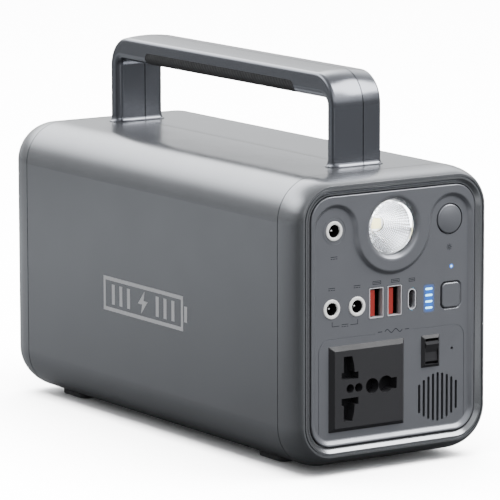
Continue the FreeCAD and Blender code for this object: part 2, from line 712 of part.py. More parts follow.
def rear_panel():
    plate = rear_outline_prism(45.1, rear(4.2), rear(1.2))
    rim = [edge for edge in plate.Edges if abs(edge.BoundBox.YMin - rear(1.2)) < 1e-3]
    plate = plate.makeFillet(0.5, rim)
    cutters = []
    for index in range(-7, 8):
        x = FAN[0] + index * 3.6
        length = 2 * math.sqrt(27.5 ** 2 - (index * 3.6) ** 2) - 2
        cutters.append(slot_prism(length, 1.9, (x, FAN[1]), rear(6), rear(0)))
    for index in range(-4, 5):
        cutters.append(slot_prism(22.0, 1.9, (index * 5.2, 32.0), rear(6), rear(0)))
    for x, z in fan_screw_places() + rear_panel_screw_places():
        cutters.append(cyl_y(1.6, x, z, rear(6), rear(0)))
    plate = without(plate, cutters)
    web = box(-28, 28, rear(4.2), rear(3.0), FAN[1] - 1.2, FAN[1] + 1.2)
    return joined([plate, web])


def rear_panel_screws():
    places = rear_panel_screw_places()
    return group([screw_y(1.25, 2.6, x, z, rear(1.2), rear(8.0), 1.0) for x, z in places])


def fan_screws():
    return group([screw_y(1.5, 2.8, x, z, rear(1.2), rear(16), 1.0) for x, z in fan_screw_places()])


def fan_frame():
    x, z = FAN
    y0, y1 = rear(4.2 + FAN_DEPTH), rear(4.2)
    frame = rounded_prism(FAN_HALF, FAN_HALF, 3.0, FAN, y0, y1)
    frame = frame.cut(cyl_y(FAN_BORE, x, z, y0 - 1, y1 + 1))
    struts = []
    for angle in (45, 135, 225, 315):
        strut = box(x + 8, x + FAN_BORE + 1.5, y1 - 1.6, y1, z - 1.3, z + 1.3)
        strut.rotate(Vector(x, 0, z), Y_AXIS, angle)
        struts.append(strut)
    hub = cyl_y(FAN_HUB, x, z, y1 - 1.6, y1)
    axle = cyl_y(1.5, x, z, y0 + 3.0, y1 - 1)
    frame = joined([frame, hub, axle] + struts)
    holes = [cyl_y(1.5, hx, hz, y0 - 1, y1 + 1) for hx, hz in fan_screw_places()]
    return without(frame, holes)


def fan_impeller():
    x, z = FAN
    y0 = rear(4.2 + FAN_DEPTH) + 1.0
    y1 = rear(4.2) - 2.2
    hub = cyl_y(FAN_HUB, x, z, y0, y1)
    middle = (y0 + y1) / 2
    blades = []
    for index in range(7):
        blade = box(x + FAN_HUB - 1.5, x + FAN_BORE, middle - 0.6, middle + 0.6, z - 7.0, z + 7.0)
        blade.rotate(Vector(x, middle, z), X_AXIS, 38)
        blade.rotate(Vector(x, 0, z), Y_AXIS, index * 360 / 7)
        blades.append(blade)
    wheel = joined([hub] + blades)
    wheel = wheel.common(cyl_y(FAN_BORE - 0.8, x, z, y0, y1))
    return wheel.cut(cyl_y(1.55, x, z, y0 + 1.6, y1 + 1))


# ---------------------------------------------------------------- handle
def handle_screw_places():
    return [(sx * 9.0, sy * (HANDLE_HALF_LENGTH - HANDLE_LEG / 2)) for sx in (-1, 1) for sy in (-1, 1)]


def arch_face(half_length, top, radius, x):
    """Upright face of an inverted U outline, closed along the housing's top."""
    def place(u, v):
        return Vector(x, u, v)
    straight = top - radius
    edges = [
        Part.makeLine(place(-half_length, BODY_TOP), place(-half_length, straight)),
        arc((-half_length + radius, straight), radius, 180, 90, place),
        Part.makeLine(place(-half_length + radius, top), place(half_length - radius, top)),
        arc((half_length - radius, straight), radius, 90, 0, place),
        Part.makeLine(place(half_length, straight), place(half_length, BODY_TOP)),
        Part.makeLine(place(half_length, BODY_TOP), place(-half_length, BODY_TOP)),
    ]
    return Part.Face(Part.Wire(edges))


def leg_flare(sign):
    """Concave flare round the foot of a leg."""
    y = sign * (HANDLE_HALF_LENGTH - HANDLE_LEG / 2)
    reach, foot, tall = 1.3, 0.35, 2.4
    sections = []
    for height in (0.0, foot, 0.5, 0.8, 1.3, 2.0, foot + tall):
        rise = max(height - foot, 0.0) / tall
        spread = reach * (1 - math.sqrt(1 - (1 - rise) ** 2)) - 0.1
        half_x = HANDLE_HALF_WIDTH + spread
        half_y = HANDLE_LEG / 2 + spread
        sections.append(flat_rounded_wire(half_x, half_y, 3.2 + spread, y, BODY_TOP + height))
    lower = Part.makeLoft(sections[:2], True, True)
    upper = Part.makeLoft(sections[1:], True, True)
    return joined([lower, upper])


def flat_rounded_wire(half_x, half_y, radius, centre_y, z):
    wire = rounded_wire(half_x, half_y, radius, (0, 0), 0)
    wire.rotate(Vector(0, 0, 0), X_AXIS, 90)
    wire.translate(Vector(0, centre_y, z))
    return wire


def crowned_face(base, place):
    """Section across the handle: flat at the base, its far side crowned and rounded at both edges.

    place turns (x, distance inwards from the crown's top) into a point.
    """
    w, r = HANDLE_HALF_WIDTH, HANDLE_EDGE
    lean = math.asin((w - r) / (HANDLE_CROWN - r))
    drop = HANDLE_CROWN - (HANDLE_CROWN - r) * math.cos(lean)

    def side(sign, turn):
        return place(sign * (w - r + r * math.sin(turn)), drop - r * math.cos(turn))

    start, end = side(-1, lean), side(1, lean)
    edges = [
        Part.makeLine(place(-w, base), place(-w, drop)),
        Part.Arc(place(-w, drop), side(-1, (lean + math.pi / 2) / 2), start).toShape(),
        Part.Arc(start, place(0, 0), end).toShape(),
        Part.Arc(end, side(1, (lean + math.pi / 2) / 2), place(w, drop)).toShape(),
        Part.makeLine(place(w, drop), place(w, base)),
        Part.makeLine(place(w, base), place(-w, base)),
    ]
    return Part.Face(Part.Wire(edges))


def handle_outside():
    """Solid under the handle's outer faces: bar, two quarter-round corners and two legs."""
    half, radius = HANDLE_HALF_LENGTH, HANDLE_OUTER_RADIUS
    bend = HANDLE_TOP - radius
    bar = crowned_face(HANDLE_TOP - BODY_TOP, lambda x, d: Vector(x, radius - half, HANDLE_TOP - d))
    parts = [bar.extrude(Vector(0, 2 * (half - radius), 0))]
    for sign in (-1, 1):
        corner = crowned_face(radius, lambda x, d: Vector(x, sign * (half - radius), HANDLE_TOP - d))
        parts.append(corner.revolve(Vector(0, sign * (half - radius), bend), X_AXIS, -sign * 90))
        leg = crowned_face(radius, lambda x, d: Vector(x, sign * (half - d), BODY_TOP))
        parts.append(leg.extrude(Vector(0, 0, bend - BODY_TOP)))
    return joined(parts)


def inner_edges(arch):
    """Long edges of the opening under the bar, apart from those on the housing."""
    edges = []
    for edge in arch.Edges:
        size = edge.BoundBox
        middle = edge.valueAt((edge.FirstParameter + edge.LastParameter) / 2)
        in_side_face = size.XLength < 1e-3 and abs(abs(size.XMin) - HANDLE_HALF_WIDTH) < 1e-3
        near_opening = abs(middle.y) < HANDLE_HALF_LENGTH - HANDLE_LEG + 1
        if in_side_face and near_opening and BODY_TOP + 1e-3 < middle.z < HANDLE_TOP - HANDLE_BAR + 1:
            edges.append(edge)
    return edges


def handle_body():
    w = HANDLE_HALF_WIDTH
    inner = arch_face(HANDLE_HALF_LENGTH - HANDLE_LEG, HANDLE_TOP - HANDLE_BAR, HANDLE_INNER_RADIUS, -w - 1)
    arch = handle_outside().cut(inner.extrude(Vector(2 * w + 2, 0, 0)))
    return arch.makeFillet(3.9, inner_edges(arch))


def grip_space(gap):
    """Space of the soft insert under the bar, grown by a gap at both ends."""
    z_top = HANDLE_TOP - HANDLE_BAR + GRIP_HEIGHT
    half = GRIP_HALF_LENGTH + gap
    w = HANDLE_HALF_WIDTH + 2

    def place(u, v):
        return Vector(-w, u, v)
    radius = 3.5
    low = HANDLE_TOP - HANDLE_BAR - 2
    edges = [
        Part.makeLine(place(-half, low), place(-half, z_top - radius)),
        arc((-half + radius, z_top - radius), radius, 180, 90, place),
        Part.makeLine(place(-half + radius, z_top), place(half - radius, z_top)),
        arc((half - radius, z_top - radius), radius, 90, 0, place),
        Part.makeLine(place(half, z_top - radius), place(half, low)),
        Part.makeLine(place(half, low), place(-half, low)),
    ]
    return Part.Face(Part.Wire(edges)).extrude(Vector(2 * w, 0, 0))


def handle_parts():
    whole = handle_body()
    grip = whole.common(grip_space(0.0))
    frame = joined([whole.cut(grip_space(0.15)), leg_flare(-1), leg_flare(1)])
    holes = [cyl_z(1.5, x, y, BODY_TOP - 1, BODY_TOP + 10) for x, y in handle_screw_places()]
    frame = without(frame, holes)
    left = frame.cut(box(SEAM_X - HANDLE_SEAM_GAP / 2, 60, -150, 150, 100, 220))
    right = frame.cut(box(-60, SEAM_X + HANDLE_SEAM_GAP / 2, -150, 150, 100, 220))
    return left, right, grip


def handle_screws():
    under = BODY_TOP - WALL
    screws = []
    for x, y in handle_screw_places():
        shank = cyl_z(1.5, x, y, under, BODY_TOP + 9.5)
        screws.append(joined([shank, cyl_z(2.8, x, y, under - 2.0, under)]))
    return group(screws)


# ---------------------------------------------------------------- feet
def foot(x, y):
    pad = flat_rounded_wire(FOOT_HALF[0], FOOT_HALF[1], 4.0, y, 0)
    pad.translate(Vector(x, 0, 0))
    body = Part.Face(pad).extrude(Vector(0, 0, FOOT_HEIGHT))
    sole = [edge for edge in body.Edges if edge.BoundBox.ZMax < 1e-3]
    body = body.makeFillet(0.8, sole)
    return without(body, [cyl_z(1.6, x, y, -1, FOOT_HEIGHT + 1), cyl_z(3.2, x, y, -1, 1.8)])


def feet():
    return group([foot(sx * FOOT_X, y) for sx in (-1, 1) for y in FOOT_Y])


def foot_screws():
    screws = []
    for sx in (-1, 1):
        for y in FOOT_Y:
            x = sx * FOOT_X
            screws.append(joined([cyl_z(2.8, x, y, 0.5, 1.8), cyl_z(1.5, x, y, 1.8, 10.5)]))
    return group(screws)


# ---------------------------------------------------------------- battery
def cell_places():
    places = []
    for column in range(CELL_COLUMNS):
        for row in range(CELL_ROWS):
            x = (column - (CELL_COLUMNS - 1) / 2) * CELL_PITCH
            y = PACK_Y + (row - (CELL_ROWS - 1) / 2) * CELL_PITCH
            places.append((x, y))
    return places


def cell(x, y):
    can = cyl_z(CELL_RADIUS, x, y, CELL_BOTTOM, CELL_BOTTOM + CELL_LENGTH - 1.2)
    cap = cyl_z(3.0, x, y, CELL_BOTTOM + CELL_LENGTH - 1.2, CELL_BOTTOM + CELL_LENGTH)
    return joined([can, cap])


def cells():
    return group([cell(x, y) for x, y in cell_places()])


def holder_plate(z0, z1):
    half_x = CELL_PITCH * CELL_COLUMNS / 2 + 0.4
    half_y = CELL_PITCH * CELL_ROWS / 2 + 0.4
    plate = box(-half_x, half_x, PACK_Y - half_y, PACK_Y + half_y, z0, z1)
    holes = [cyl_z(CELL_RADIUS, x, y, z0 - 1, z1 + 1) for x, y in cell_places()]
    return without(plate, holes)


def holder_corner_places():
    return [(sx * 1.0 * CELL_PITCH, PACK_Y + sy * 3.0 * CELL_PITCH - sy * CELL_PITCH / 2)
            for sx in (-1, 1) for sy in (-1, 1)]


def cell_holder_lower():
    pads = [cyl_z(2.4, x, y, FOOT_HEIGHT + WALL, CELL_BOTTOM + 1) for x, y in holder_corner_places()]
    return joined([holder_plate(CELL_BOTTOM, CELL_BOTTOM + 6)] + pads)


def cell_holder_upper():
    top = CELL_BOTTOM + CELL_LENGTH
    posts = [cyl_z(2.4, x, y, top - 1, INVERTER_Z) for x, y in holder_corner_places()]
    return joined([holder_plate(top - 6, top)] + posts)


def nickel_strips():
    length = CELL_PITCH * CELL_ROWS / 2 - 2
    strips = []
    for column in range(CELL_COLUMNS):
        x = (column - (CELL_COLUMNS - 1) / 2) * CELL_PITCH
        for z in (CELL_BOTTOM - 0.3, CELL_BOTTOM + CELL_LENGTH):
            strips.append(box(x - 4, x + 4, PACK_Y - length, PACK_Y + length, z, z + 0.3))
    return group(strips)


def pack_front():
    return PACK_Y - CELL_PITCH * CELL_ROWS / 2 - 0.4


def bms_board():
    return box(-36, 36, pack_front() - 1.6, pack_front(), 10, 71)


def bms_parts():
    face = pack_front() - 1.6
    chips = [box(x - 4, x + 4, face - 2.2, face, 30, 42) for x in (-24, -12, 0, 12, 24)]
    chips.append(box(-10, 10, face - 3, face, 14, 24))
    return group(chips)


# ---------------------------------------------------------------- inverter
def inverter_board():
    half_y = CELL_PITCH * CELL_ROWS / 2
    return box(-38, 38, PACK_Y - half_y, PACK_Y + half_y, INVERTER_Z, INVERTER_Z + 1.6)


def transformer_core():
    z = INVERTER_Z + 1.6
    block = box(-21, 21, 22, 56, z, z + 34)
    windows = [box(-16.5, -7.5, 20, 58, z + 6, z + 28), box(7.5, 16.5, 20, 58, z + 6, z + 28)]
    return without(block, windows)


def transformer_winding():
    z = INVERTER_Z + 7.6
    coil = rounded_prism(15.9, 25.6, 5.0, (0, 0), 0, 21.2)
    coil.rotate(Vector(0, 0, 0), X_AXIS, 90)
    coil.translate(Vector(0, 39, z + 0.4))
    inside = box(-7.5, 7.5, 22, 56, z - 1, z + 23)
    return coil.cut(inside)


def capacitors():
    z = INVERTER_Z + 1.6
    places = ((-24, -36), (-3, -36), (18, -36), (-24, -14), (18, -14))
    return group([cyl_z(9.0, x, y, z, z + 34) for x, y in places])


def heat_sink(sign):
    z = INVERTER_Z + 1.6
    base = box(0, 3, -2, 74, z, z + 32)
    fins = [box(-8, 0.5, y, y + 1.4, z, z + 32) for y in range(-2, 74, 5)]
    sink = joined([base] + fins)
    if sign > 0:
        sink = sink.mirror(Vector(0, 0, 0), X_AXIS)
    sink.translate(Vector(sign * 33, 0, 0))
    return sink


def heat_sinks():
    return group([heat_sink(-1), heat_sink(1)])


def terminal_block():
    z = INVERTER_Z + 1.6
    block = box(-22, 22, -52, -47.2, z, z + 10)
    bores = [cyl_y(1.7, x, LEAD_Z, -53, -49) for x in (-14, 14)]
    return without(block, bores)


def battery_lead(x):
    """Cable from the protection board up to the inverter's terminal block."""
    def place(u, v):
        return Vector(x, u, v)
    start = pack_front() - 1.6
    bend = 8.0
    back = start - 4 - bend
    edges = [
        Part.makeLine(place(start, 52), place(back + bend, 52)),
        arc((back + bend, 52 + bend), bend, 270, 180, place),
        Part.makeLine(place(back, 52 + bend), place(back, LEAD_Z - bend)),
        arc((back + bend, LEAD_Z - bend), bend, 180, 90, place),
        Part.makeLine(place(back + bend, LEAD_Z), place(-49, LEAD_Z)),
    ]
    ring = Part.Wire(Part.Circle(place(start, 52), Y_AXIS, 1.7).toShape())
    return Part.Wire(edges).makePipeShell([ring], True, True)


# ---------------------------------------------------------------- output
def export_all():
    left_shell, right_shell = shells()
    handle_left, handle_right, grip_insert = handle_parts()
    nodes = {
        "left_shell": left_shell,
        "right_shell": right_shell,
        "front_frame": front_frame(),
        "rear_frame": rear_frame(),
        "frame_screws": frame_screws(),
        "front_panel": front_panel(),
        "rear_panel": rear_panel(),
        "rear_panel_screws": rear_panel_screws(),
        "handle_left": handle_left,
        "handle_right": handle_right,
        "grip_insert": grip_insert,
        "handle_screws": handle_screws(),
        "feet": feet(),
        "foot_screws": foot_screws(),
        "torch_lens": torch_lens(),
        "torch_reflector": torch_reflector(),
        "torch_board": torch_board(),
        "torch_chip": torch_chip(),
        "light_button": light_button(),
        "light_switch": switch_body(LIGHT_BUTTON),
        "power_button": power_button(),
        "power_switch": switch_body(POWER_BUTTON),
        "gauge_window": gauge_window(),
        "gauge_bars": gauge_bars(),
        "status_light": status_light(),
        "pin_light": pin_light(),
        "dc_jack_rings": group([dc_jack_ring(place) for place in DC_JACKS]),
        "dc_jack_bodies": group([dc_jack_body(place) for place in DC_JACKS]),
        "dc_jack_pins": group([dc_jack_pin(place) for place in DC_JACKS]),
        "usb_a_shells": group([usb_a_shell(place) for place in USB_A_PORTS]),
        "usb_a_tongues": group([usb_a_tongue(place) for place in USB_A_PORTS]),
        "usb_a_contacts": group([strip for place in USB_A_PORTS for strip in usb_a_contacts(place)]),
        "usb_c_shell": usb_c_shell(),
        "usb_c_tongue": usb_c_tongue(),
        "front_board": front_board(),
        "board_screws": board_screws(),
        "socket_body": socket_body(),
        "socket_shutters": socket_shutters(),
        "socket_contacts": socket_contacts(),
        "rocker_bezel": rocker_bezel(),
        "rocker_paddle": rocker_paddle(),
        "rocker_terminals": rocker_terminals(),
        "fan_frame": fan_frame(),
        "fan_impeller": fan_impeller(),
        "fan_screws": fan_screws(),
        "cells": cells(),
        "cell_holder_lower": cell_holder_lower(),
        "cell_holder_upper": cell_holder_upper(),
        "nickel_strips": nickel_strips(),
        "bms_board": bms_board(),
        "bms_parts": bms_parts(),
        "inverter_board": inverter_board(),
        "transformer_core": transformer_core(),
        "transformer_winding": transformer_winding(),
        "capacitors": capacitors(),
        "heat_sinks": heat_sinks(),
        "terminal_block": terminal_block(),
        "lead_positive": battery_lead(14),
        "lead_negative": battery_lead(-14),
    }
    os.makedirs("parts", exist_ok=True)
    for name, shape in nodes.items():
        shape.exportStep("parts/" + name + ".step")
        print(name, "solids", len(shape.Solids), "valid", shape.isValid(), "volume", round(shape.Volume))


export_all()
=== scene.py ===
"""Looks of the portable power station: finishes, ribbed grip, torch optics, panel marks, light and camera.

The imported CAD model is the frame. Lengths are in metres; most are written in millimetres times MM.
"""

import math

import bmesh
import bpy
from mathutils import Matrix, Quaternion, Vector


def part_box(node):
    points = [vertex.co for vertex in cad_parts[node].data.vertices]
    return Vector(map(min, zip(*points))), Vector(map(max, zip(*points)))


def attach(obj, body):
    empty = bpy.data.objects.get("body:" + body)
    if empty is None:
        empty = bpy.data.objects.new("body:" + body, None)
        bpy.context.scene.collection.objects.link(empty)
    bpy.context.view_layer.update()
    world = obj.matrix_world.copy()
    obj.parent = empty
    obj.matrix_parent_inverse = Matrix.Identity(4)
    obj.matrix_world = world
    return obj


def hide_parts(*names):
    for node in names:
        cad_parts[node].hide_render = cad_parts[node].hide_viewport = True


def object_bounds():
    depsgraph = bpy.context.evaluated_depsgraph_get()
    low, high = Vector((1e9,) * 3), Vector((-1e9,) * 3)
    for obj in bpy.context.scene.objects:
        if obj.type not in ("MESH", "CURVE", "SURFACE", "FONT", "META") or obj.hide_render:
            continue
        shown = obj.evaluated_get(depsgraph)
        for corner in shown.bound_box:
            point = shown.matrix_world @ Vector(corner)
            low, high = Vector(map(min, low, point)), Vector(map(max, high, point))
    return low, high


MM = 0.001

# Camera: where it looks, from how far, and how it is turned.
CAMERA_TARGET = Vector((-52.7 * MM, -87.5 * MM, 101.9 * MM))
CAMERA_DISTANCE = 1.947
CAMERA_AZIMUTH = -33.37
CAMERA_ELEVATION = 9.48
CAMERA_ROLL = -0.147
CAMERA_LENS = 304.1

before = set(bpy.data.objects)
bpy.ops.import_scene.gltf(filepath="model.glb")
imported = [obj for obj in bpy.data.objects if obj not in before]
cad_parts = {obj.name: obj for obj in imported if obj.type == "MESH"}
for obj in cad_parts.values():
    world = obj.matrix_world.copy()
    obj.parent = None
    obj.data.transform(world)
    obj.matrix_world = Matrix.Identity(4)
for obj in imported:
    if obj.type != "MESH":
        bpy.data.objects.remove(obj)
cad_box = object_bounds()
FRONT_Y = cad_box[0][1]

# Colours that several pieces share.
SHELL_COLOR = (0.19, 0.195, 0.205)
PANEL_COLOR = (0.155, 0.16, 0.175)


# ---------------------------------------------------------------- node helpers
class Finish:
    """A material under construction: its node tree, its shader and the object coordinates in metres."""

    def __init__(self, name, color, metallic=0.0, roughness=0.5):
        self.material = bpy.data.materials.new(name)
        self.material.use_nodes = True
        self.tree = self.material.node_tree
        self.shader = self.tree.nodes["Principled BSDF"]
        self.place = self.node("ShaderNodeTexCoord").outputs["Object"]
        self.color = color
        self.shader.inputs["Base Color"].default_value = (*color, 1.0)
        self.shader.inputs["Metallic"].default_value = metallic
        self.shader.inputs["Roughness"].default_value = roughness

    def node(self, kind, **values):
        """New node with its settings."""
        made = self.tree.nodes.new(kind)
        for name, value in values.items():
            setattr(made, name, value)
        return made

    def link(self, output, target):
        self.tree.links.new(output, target)

    def axis(self, name):
        """One object coordinate of each point, in metres."""
        split = self.node("ShaderNodeSeparateXYZ")
        self.link(self.place, split.inputs["Vector"])
        return split.outputs[name]

    def noise(self, size, detail=2.0, stretch=(1.0, 1.0, 1.0)):
        """Noise whose features are about size metres across."""
        mapping = self.node("ShaderNodeMapping")
        mapping.inputs["Scale"].default_value = stretch
        self.link(self.place, mapping.inputs["Vector"])
        texture = self.node("ShaderNodeTexNoise")
        texture.inputs["Scale"].default_value = 1.0 / size
        texture.inputs["Detail"].default_value = detail
        self.link(mapping.outputs["Vector"], texture.inputs["Vector"])
        return texture.outputs["Fac"]

    def ranged(self, value, low, high, start=0.3, end=0.7):
        """Maps start..end of a value to low..high."""
        ramp = self.node("ShaderNodeMapRange")
        ramp.inputs["From Min"].default_value = start
        ramp.inputs["From Max"].default_value = end
        ramp.inputs["To Min"].default_value = low
        ramp.inputs["To Max"].default_value = high
        self.link(value, ramp.inputs["Value"])
        return ramp.outputs["Result"]

    def mixed(self, factor, first, second):
        """Colour mix; first and second are outputs or colours."""
        mix = self.node("ShaderNodeMix", data_type="RGBA")
        self.link(factor, mix.inputs["Factor"])
        # A mix node has a pair of inputs and an output per data type; these are the colour ones.
        for socket, value in ((mix.inputs[6], first), (mix.inputs[7], second)):
            if isinstance(value, tuple):
                socket.default_value = (*value, 1.0)
            else:
                self.link(value, socket)
        return mix.outputs[2]

    def math(self, operation, first, second=0.5):
        """Result of a maths node; second is a number or an output."""
        made = self.node("ShaderNodeMath", operation=operation)
        self.link(first, made.inputs[0])
        if isinstance(second, float):
            made.inputs[1].default_value = second
        else:
            self.link(second, made.inputs[1])
        return made.outputs["Value"]

    def from_middle(self):
        """How far each point lies from the middle of its node's box, in X and in Z, as 0 to 0.5."""
        split = self.node("ShaderNodeSeparateXYZ")
        self.link(self.node("ShaderNodeTexCoord").outputs["Generated"], split.inputs["Vector"])
        return [self.math("ABSOLUTE", self.math("SUBTRACT", split.outputs[axis])) for axis in ("X", "Z")]

    def tinted(self, amount):
        """The base colour made lighter or darker by a factor."""
        return tuple(min(channel * amount, 1.0) for channel in self.color)

    def vary_color(self, size, spread, detail=3.0):
        """Clouds of slightly darker and lighter colour."""
        factor = self.ranged(self.noise(size, detail), 0.0, 1.0, 0.1, 0.9)
        output = self.mixed(factor, self.tinted(1.0 - spread), self.tinted(1.0 + spread))
        self.link(output, self.shader.inputs["Base Color"])
        return output

    def vary_roughness(self, size, low, high):
        """Clouds of duller and glossier surface."""
        self.link(self.ranged(self.noise(size, 1.0), low, high, 0.1, 0.9), self.shader.inputs["Roughness"])

    def grain(self, size, depth, detail=2.0, stretch=(1.0, 1.0, 1.0)):
        """Bump of noise, depth metres deep."""
        bump = self.node("ShaderNodeBump")
        bump.inputs["Strength"].default_value = 1.0
        bump.inputs["Distance"].default_value = depth
        self.link(self.noise(size, detail, stretch), bump.inputs["Height"])
        self.link(bump.outputs["Normal"], self.shader.inputs["Normal"])

    def worn_edges(self, output, radius, amount, color):
        """Lighter colour along convex edges, broken up by noise."""
        bevel = self.node("ShaderNodeBevel", samples=4)
        bevel.inputs["Radius"].default_value = radius
        geometry = self.node("ShaderNodeNewGeometry")
        dot = self.node("ShaderNodeVectorMath", operation="DOT_PRODUCT")
        self.link(bevel.outputs["Normal"], dot.inputs[0])
        self.link(geometry.outputs["Normal"], dot.inputs[1])
        edge = self.ranged(dot.outputs["Value"], amount, 0.0, 0.75, 0.98)
        patchy = self.math("MULTIPLY", edge, self.ranged(self.noise(4 * MM, 4.0), 0.3, 1.0))
        self.link(self.mixed(patchy, output, color), self.shader.inputs["Base Color"])


# ---------------------------------------------------------------- finishes
def coated_metal(name, color, metallic, low, high, coat=0.0, seam_shade=False):
    """Satin metallic coat: orange peel, flakes, clouds and worn edges; seam_shade adds a painted shade line
    at X = 0 for the gap between the shell halves.
    """
    finish = Finish(name, color, metallic)
    clouds = finish.vary_color(35 * MM, 0.04)
    flakes = finish.ranged(finish.noise(0.25 * MM, 1.0), 0.0, 0.1, 0.45, 0.8)
    speckled = finish.mixed(flakes, clouds, finish.tinted(1.7))
    if seam_shade:
        # Painted shade: a dark line along X = 0 stands in for the shade in the gap where the two shell
        # halves meet.
        from_seam = finish.math("ABSOLUTE", finish.axis("X"))
        line = finish.ranged(from_seam, 1.0, 0.0, 0.4 * MM, 0.8 * MM)
        speckled = finish.mixed(line, speckled, finish.tinted(0.3))
    finish.vary_roughness(20 * MM, low, high)
    finish.grain(0.45 * MM, 0.004 * MM)
    finish.worn_edges(speckled, 0.5 * MM, 0.35, finish.tinted(2.2))
    finish.shader.inputs["Coat Weight"].default_value = coat
    finish.shader.inputs["Coat Roughness"].default_value = 0.15
    return finish.material


def moulded_plastic(name, color, low=0.45, high=0.6, metallic=0.0, shine=0.5):
    """Spark-eroded plastic: fine even texture and slightly polished edges."""
    finish = Finish(name, color, metallic)
    clouds = finish.vary_color(18 * MM, 0.05)
    finish.vary_roughness(6 * MM, low, high)
    finish.grain(0.35 * MM, 0.02 * MM, detail=3.0)
    finish.worn_edges(clouds, 0.35 * MM, 0.25, finish.tinted(1.6))
    finish.shader.inputs["Specular IOR Level"].default_value = shine
    return finish.material


def gloss_plastic(name, color, roughness=0.15):
    """Shiny plastic with faint waves."""
    finish = Finish(name, color)
    finish.vary_color(5 * MM, 0.04)
    finish.vary_roughness(3 * MM, roughness * 0.7, roughness * 1.4)
    finish.grain(1.5 * MM, 0.006 * MM)
    return finish.material


def soft_rubber(name, color):
    """Matte rubber with a powdery sheen."""
    finish = Finish(name, color)
    finish.vary_color(9 * MM, 0.12)
    finish.vary_roughness(4 * MM, 0.6, 0.8)
    finish.grain(0.3 * MM, 0.03 * MM, detail=4.0)
    finish.shader.inputs["Sheen Weight"].default_value = 0.03
    finish.shader.inputs["Sheen Roughness"].default_value = 0.5
    return finish.material


def plated_metal(name, color, low=0.18, high=0.34):
    """Drawn and plated metal with fine lines."""
    finish = Finish(name, color, 1.0)
    finish.vary_color(3 * MM, 0.08)
    finish.vary_roughness(1.5 * MM, low, high)
    finish.grain(0.4 * MM, 0.008 * MM, stretch=(6.0, 1.0, 1.0))
    return finish.material


def port_metal(name, color):
    """Tinned port shell, bright at its mouth, with painted shade turning it near black from a few
    millimetres in.
    """
    finish = Finish(name, color, 0.4, 0.4)
    clouds = finish.vary_color(3 * MM, 0.08)
    finish.grain(0.4 * MM, 0.008 * MM)
    # Painted shade: the shell darkens to near black deeper inside the port, where little light reaches.
    deep = finish.ranged(finish.axis("Y"), 0.0, 1.0, FRONT_Y + 4.2 * MM, FRONT_Y + 6.2 * MM)
    finish.link(finish.mixed(deep, clouds, (0.008, 0.008, 0.009)), finish.shader.inputs["Base Color"])
    return finish.material


def glowing_plastic(name, color, strength):
    """Light pipe, a little brighter in its middle clouds."""
    finish = Finish(name, color, 0.0, 0.25)
    finish.vary_color(2 * MM, 0.1)
    finish.grain(0.5 * MM, 0.005 * MM)
    clouds = finish.ranged(finish.noise(1.2 * MM), 0.0, 1.0)
    glow = finish.mixed(clouds, finish.tinted(0.9), finish.tinted(1.15))
    finish.link(glow, finish.shader.inputs["Emission Color"])
    finish.shader.inputs["Emission Strength"].default_value = strength
    return finish.material


def halo_window(name):
    """Tinted window round the charge bars with a painted blue glow in its middle, as base colour and
    emission, fading to the panel's grey at its rim.
    """
    finish = Finish(name, (0.09, 0.10, 0.12), 0.0, 0.25)
    clouds = finish.vary_color(2 * MM, 0.06)
    finish.grain(0.5 * MM, 0.005 * MM)
    across, along = finish.from_middle()
    sideways = finish.ranged(across, 1.0, 0.0, 0.2, 0.5)
    upwards = finish.ranged(along, 1.0, 0.0, 0.36, 0.5)
    glow = finish.math("MULTIPLY", sideways, upwards)
    # Painted glow: the middle of the window turns blue and emits light, standing in for the bars' light
    # spreading through it.
    finish.link(finish.mixed(glow, clouds, (0.02, 0.10, 0.42)), finish.shader.inputs["Base Color"])
    finish.shader.inputs["Emission Color"].default_value = (0.03, 0.22, 0.9, 1.0)
    finish.link(finish.math("MULTIPLY", glow, 0.32), finish.shader.inputs["Emission Strength"])
    return finish.material


def point_light(name):
    """Light pipe with a white core and a blue rim."""
    finish = Finish(name, (0.05, 0.12, 0.3), 0.0, 0.3)
    finish.vary_color(1 * MM, 0.1)
    finish.grain(0.5 * MM, 0.005 * MM)
    across, along = finish.from_middle()
    squares = [finish.math("MULTIPLY", part, part) for part in (across, along)]
    reach = finish.math("SQRT", finish.math("ADD", *squares))
    core = finish.ranged(reach, 1.0, 0.0, 0.05, 0.22)
    glow = finish.mixed(core, (0.01, 0.13, 0.65), (2.0, 3.2, 4.2))
    finish.link(glow, finish.shader.inputs["Emission Color"])
    finish.shader.inputs["Emission Strength"].default_value = 1.0
    return finish.material


def mirror_coat(name, color):
    """Vacuum-metallised plastic with faint waviness."""
    finish = Finish(name, color, 1.0)
    finish.vary_color(4 * MM, 0.03)
    finish.vary_roughness(2 * MM, 0.05, 0.12)
    finish.grain(1.0 * MM, 0.005 * MM)
    return finish.material


def clear_lens(name):
    """Clear moulded glass with faint waves; its low index keeps the bowl behind it bright."""
    finish = Finish(name, (0.97, 0.98, 0.99), 0.0, 0.04)
    finish.shader.inputs["Transmission Weight"].default_value = 1.0
    finish.shader.inputs["IOR"].default_value = 1.2
    finish.vary_roughness(5 * MM, 0.01, 0.05)
    finish.grain(6 * MM, 0.004 * MM)
    return finish.material


def phosphor(name):
    """Chip-on-board phosphor: lemon with a grainy surface."""
    finish = Finish(name, (0.92, 0.82, 0.42), 0.0, 0.6)
    finish.vary_color(0.5 * MM, 0.12)
    finish.grain(0.2 * MM, 0.03 * MM)
    return finish.material


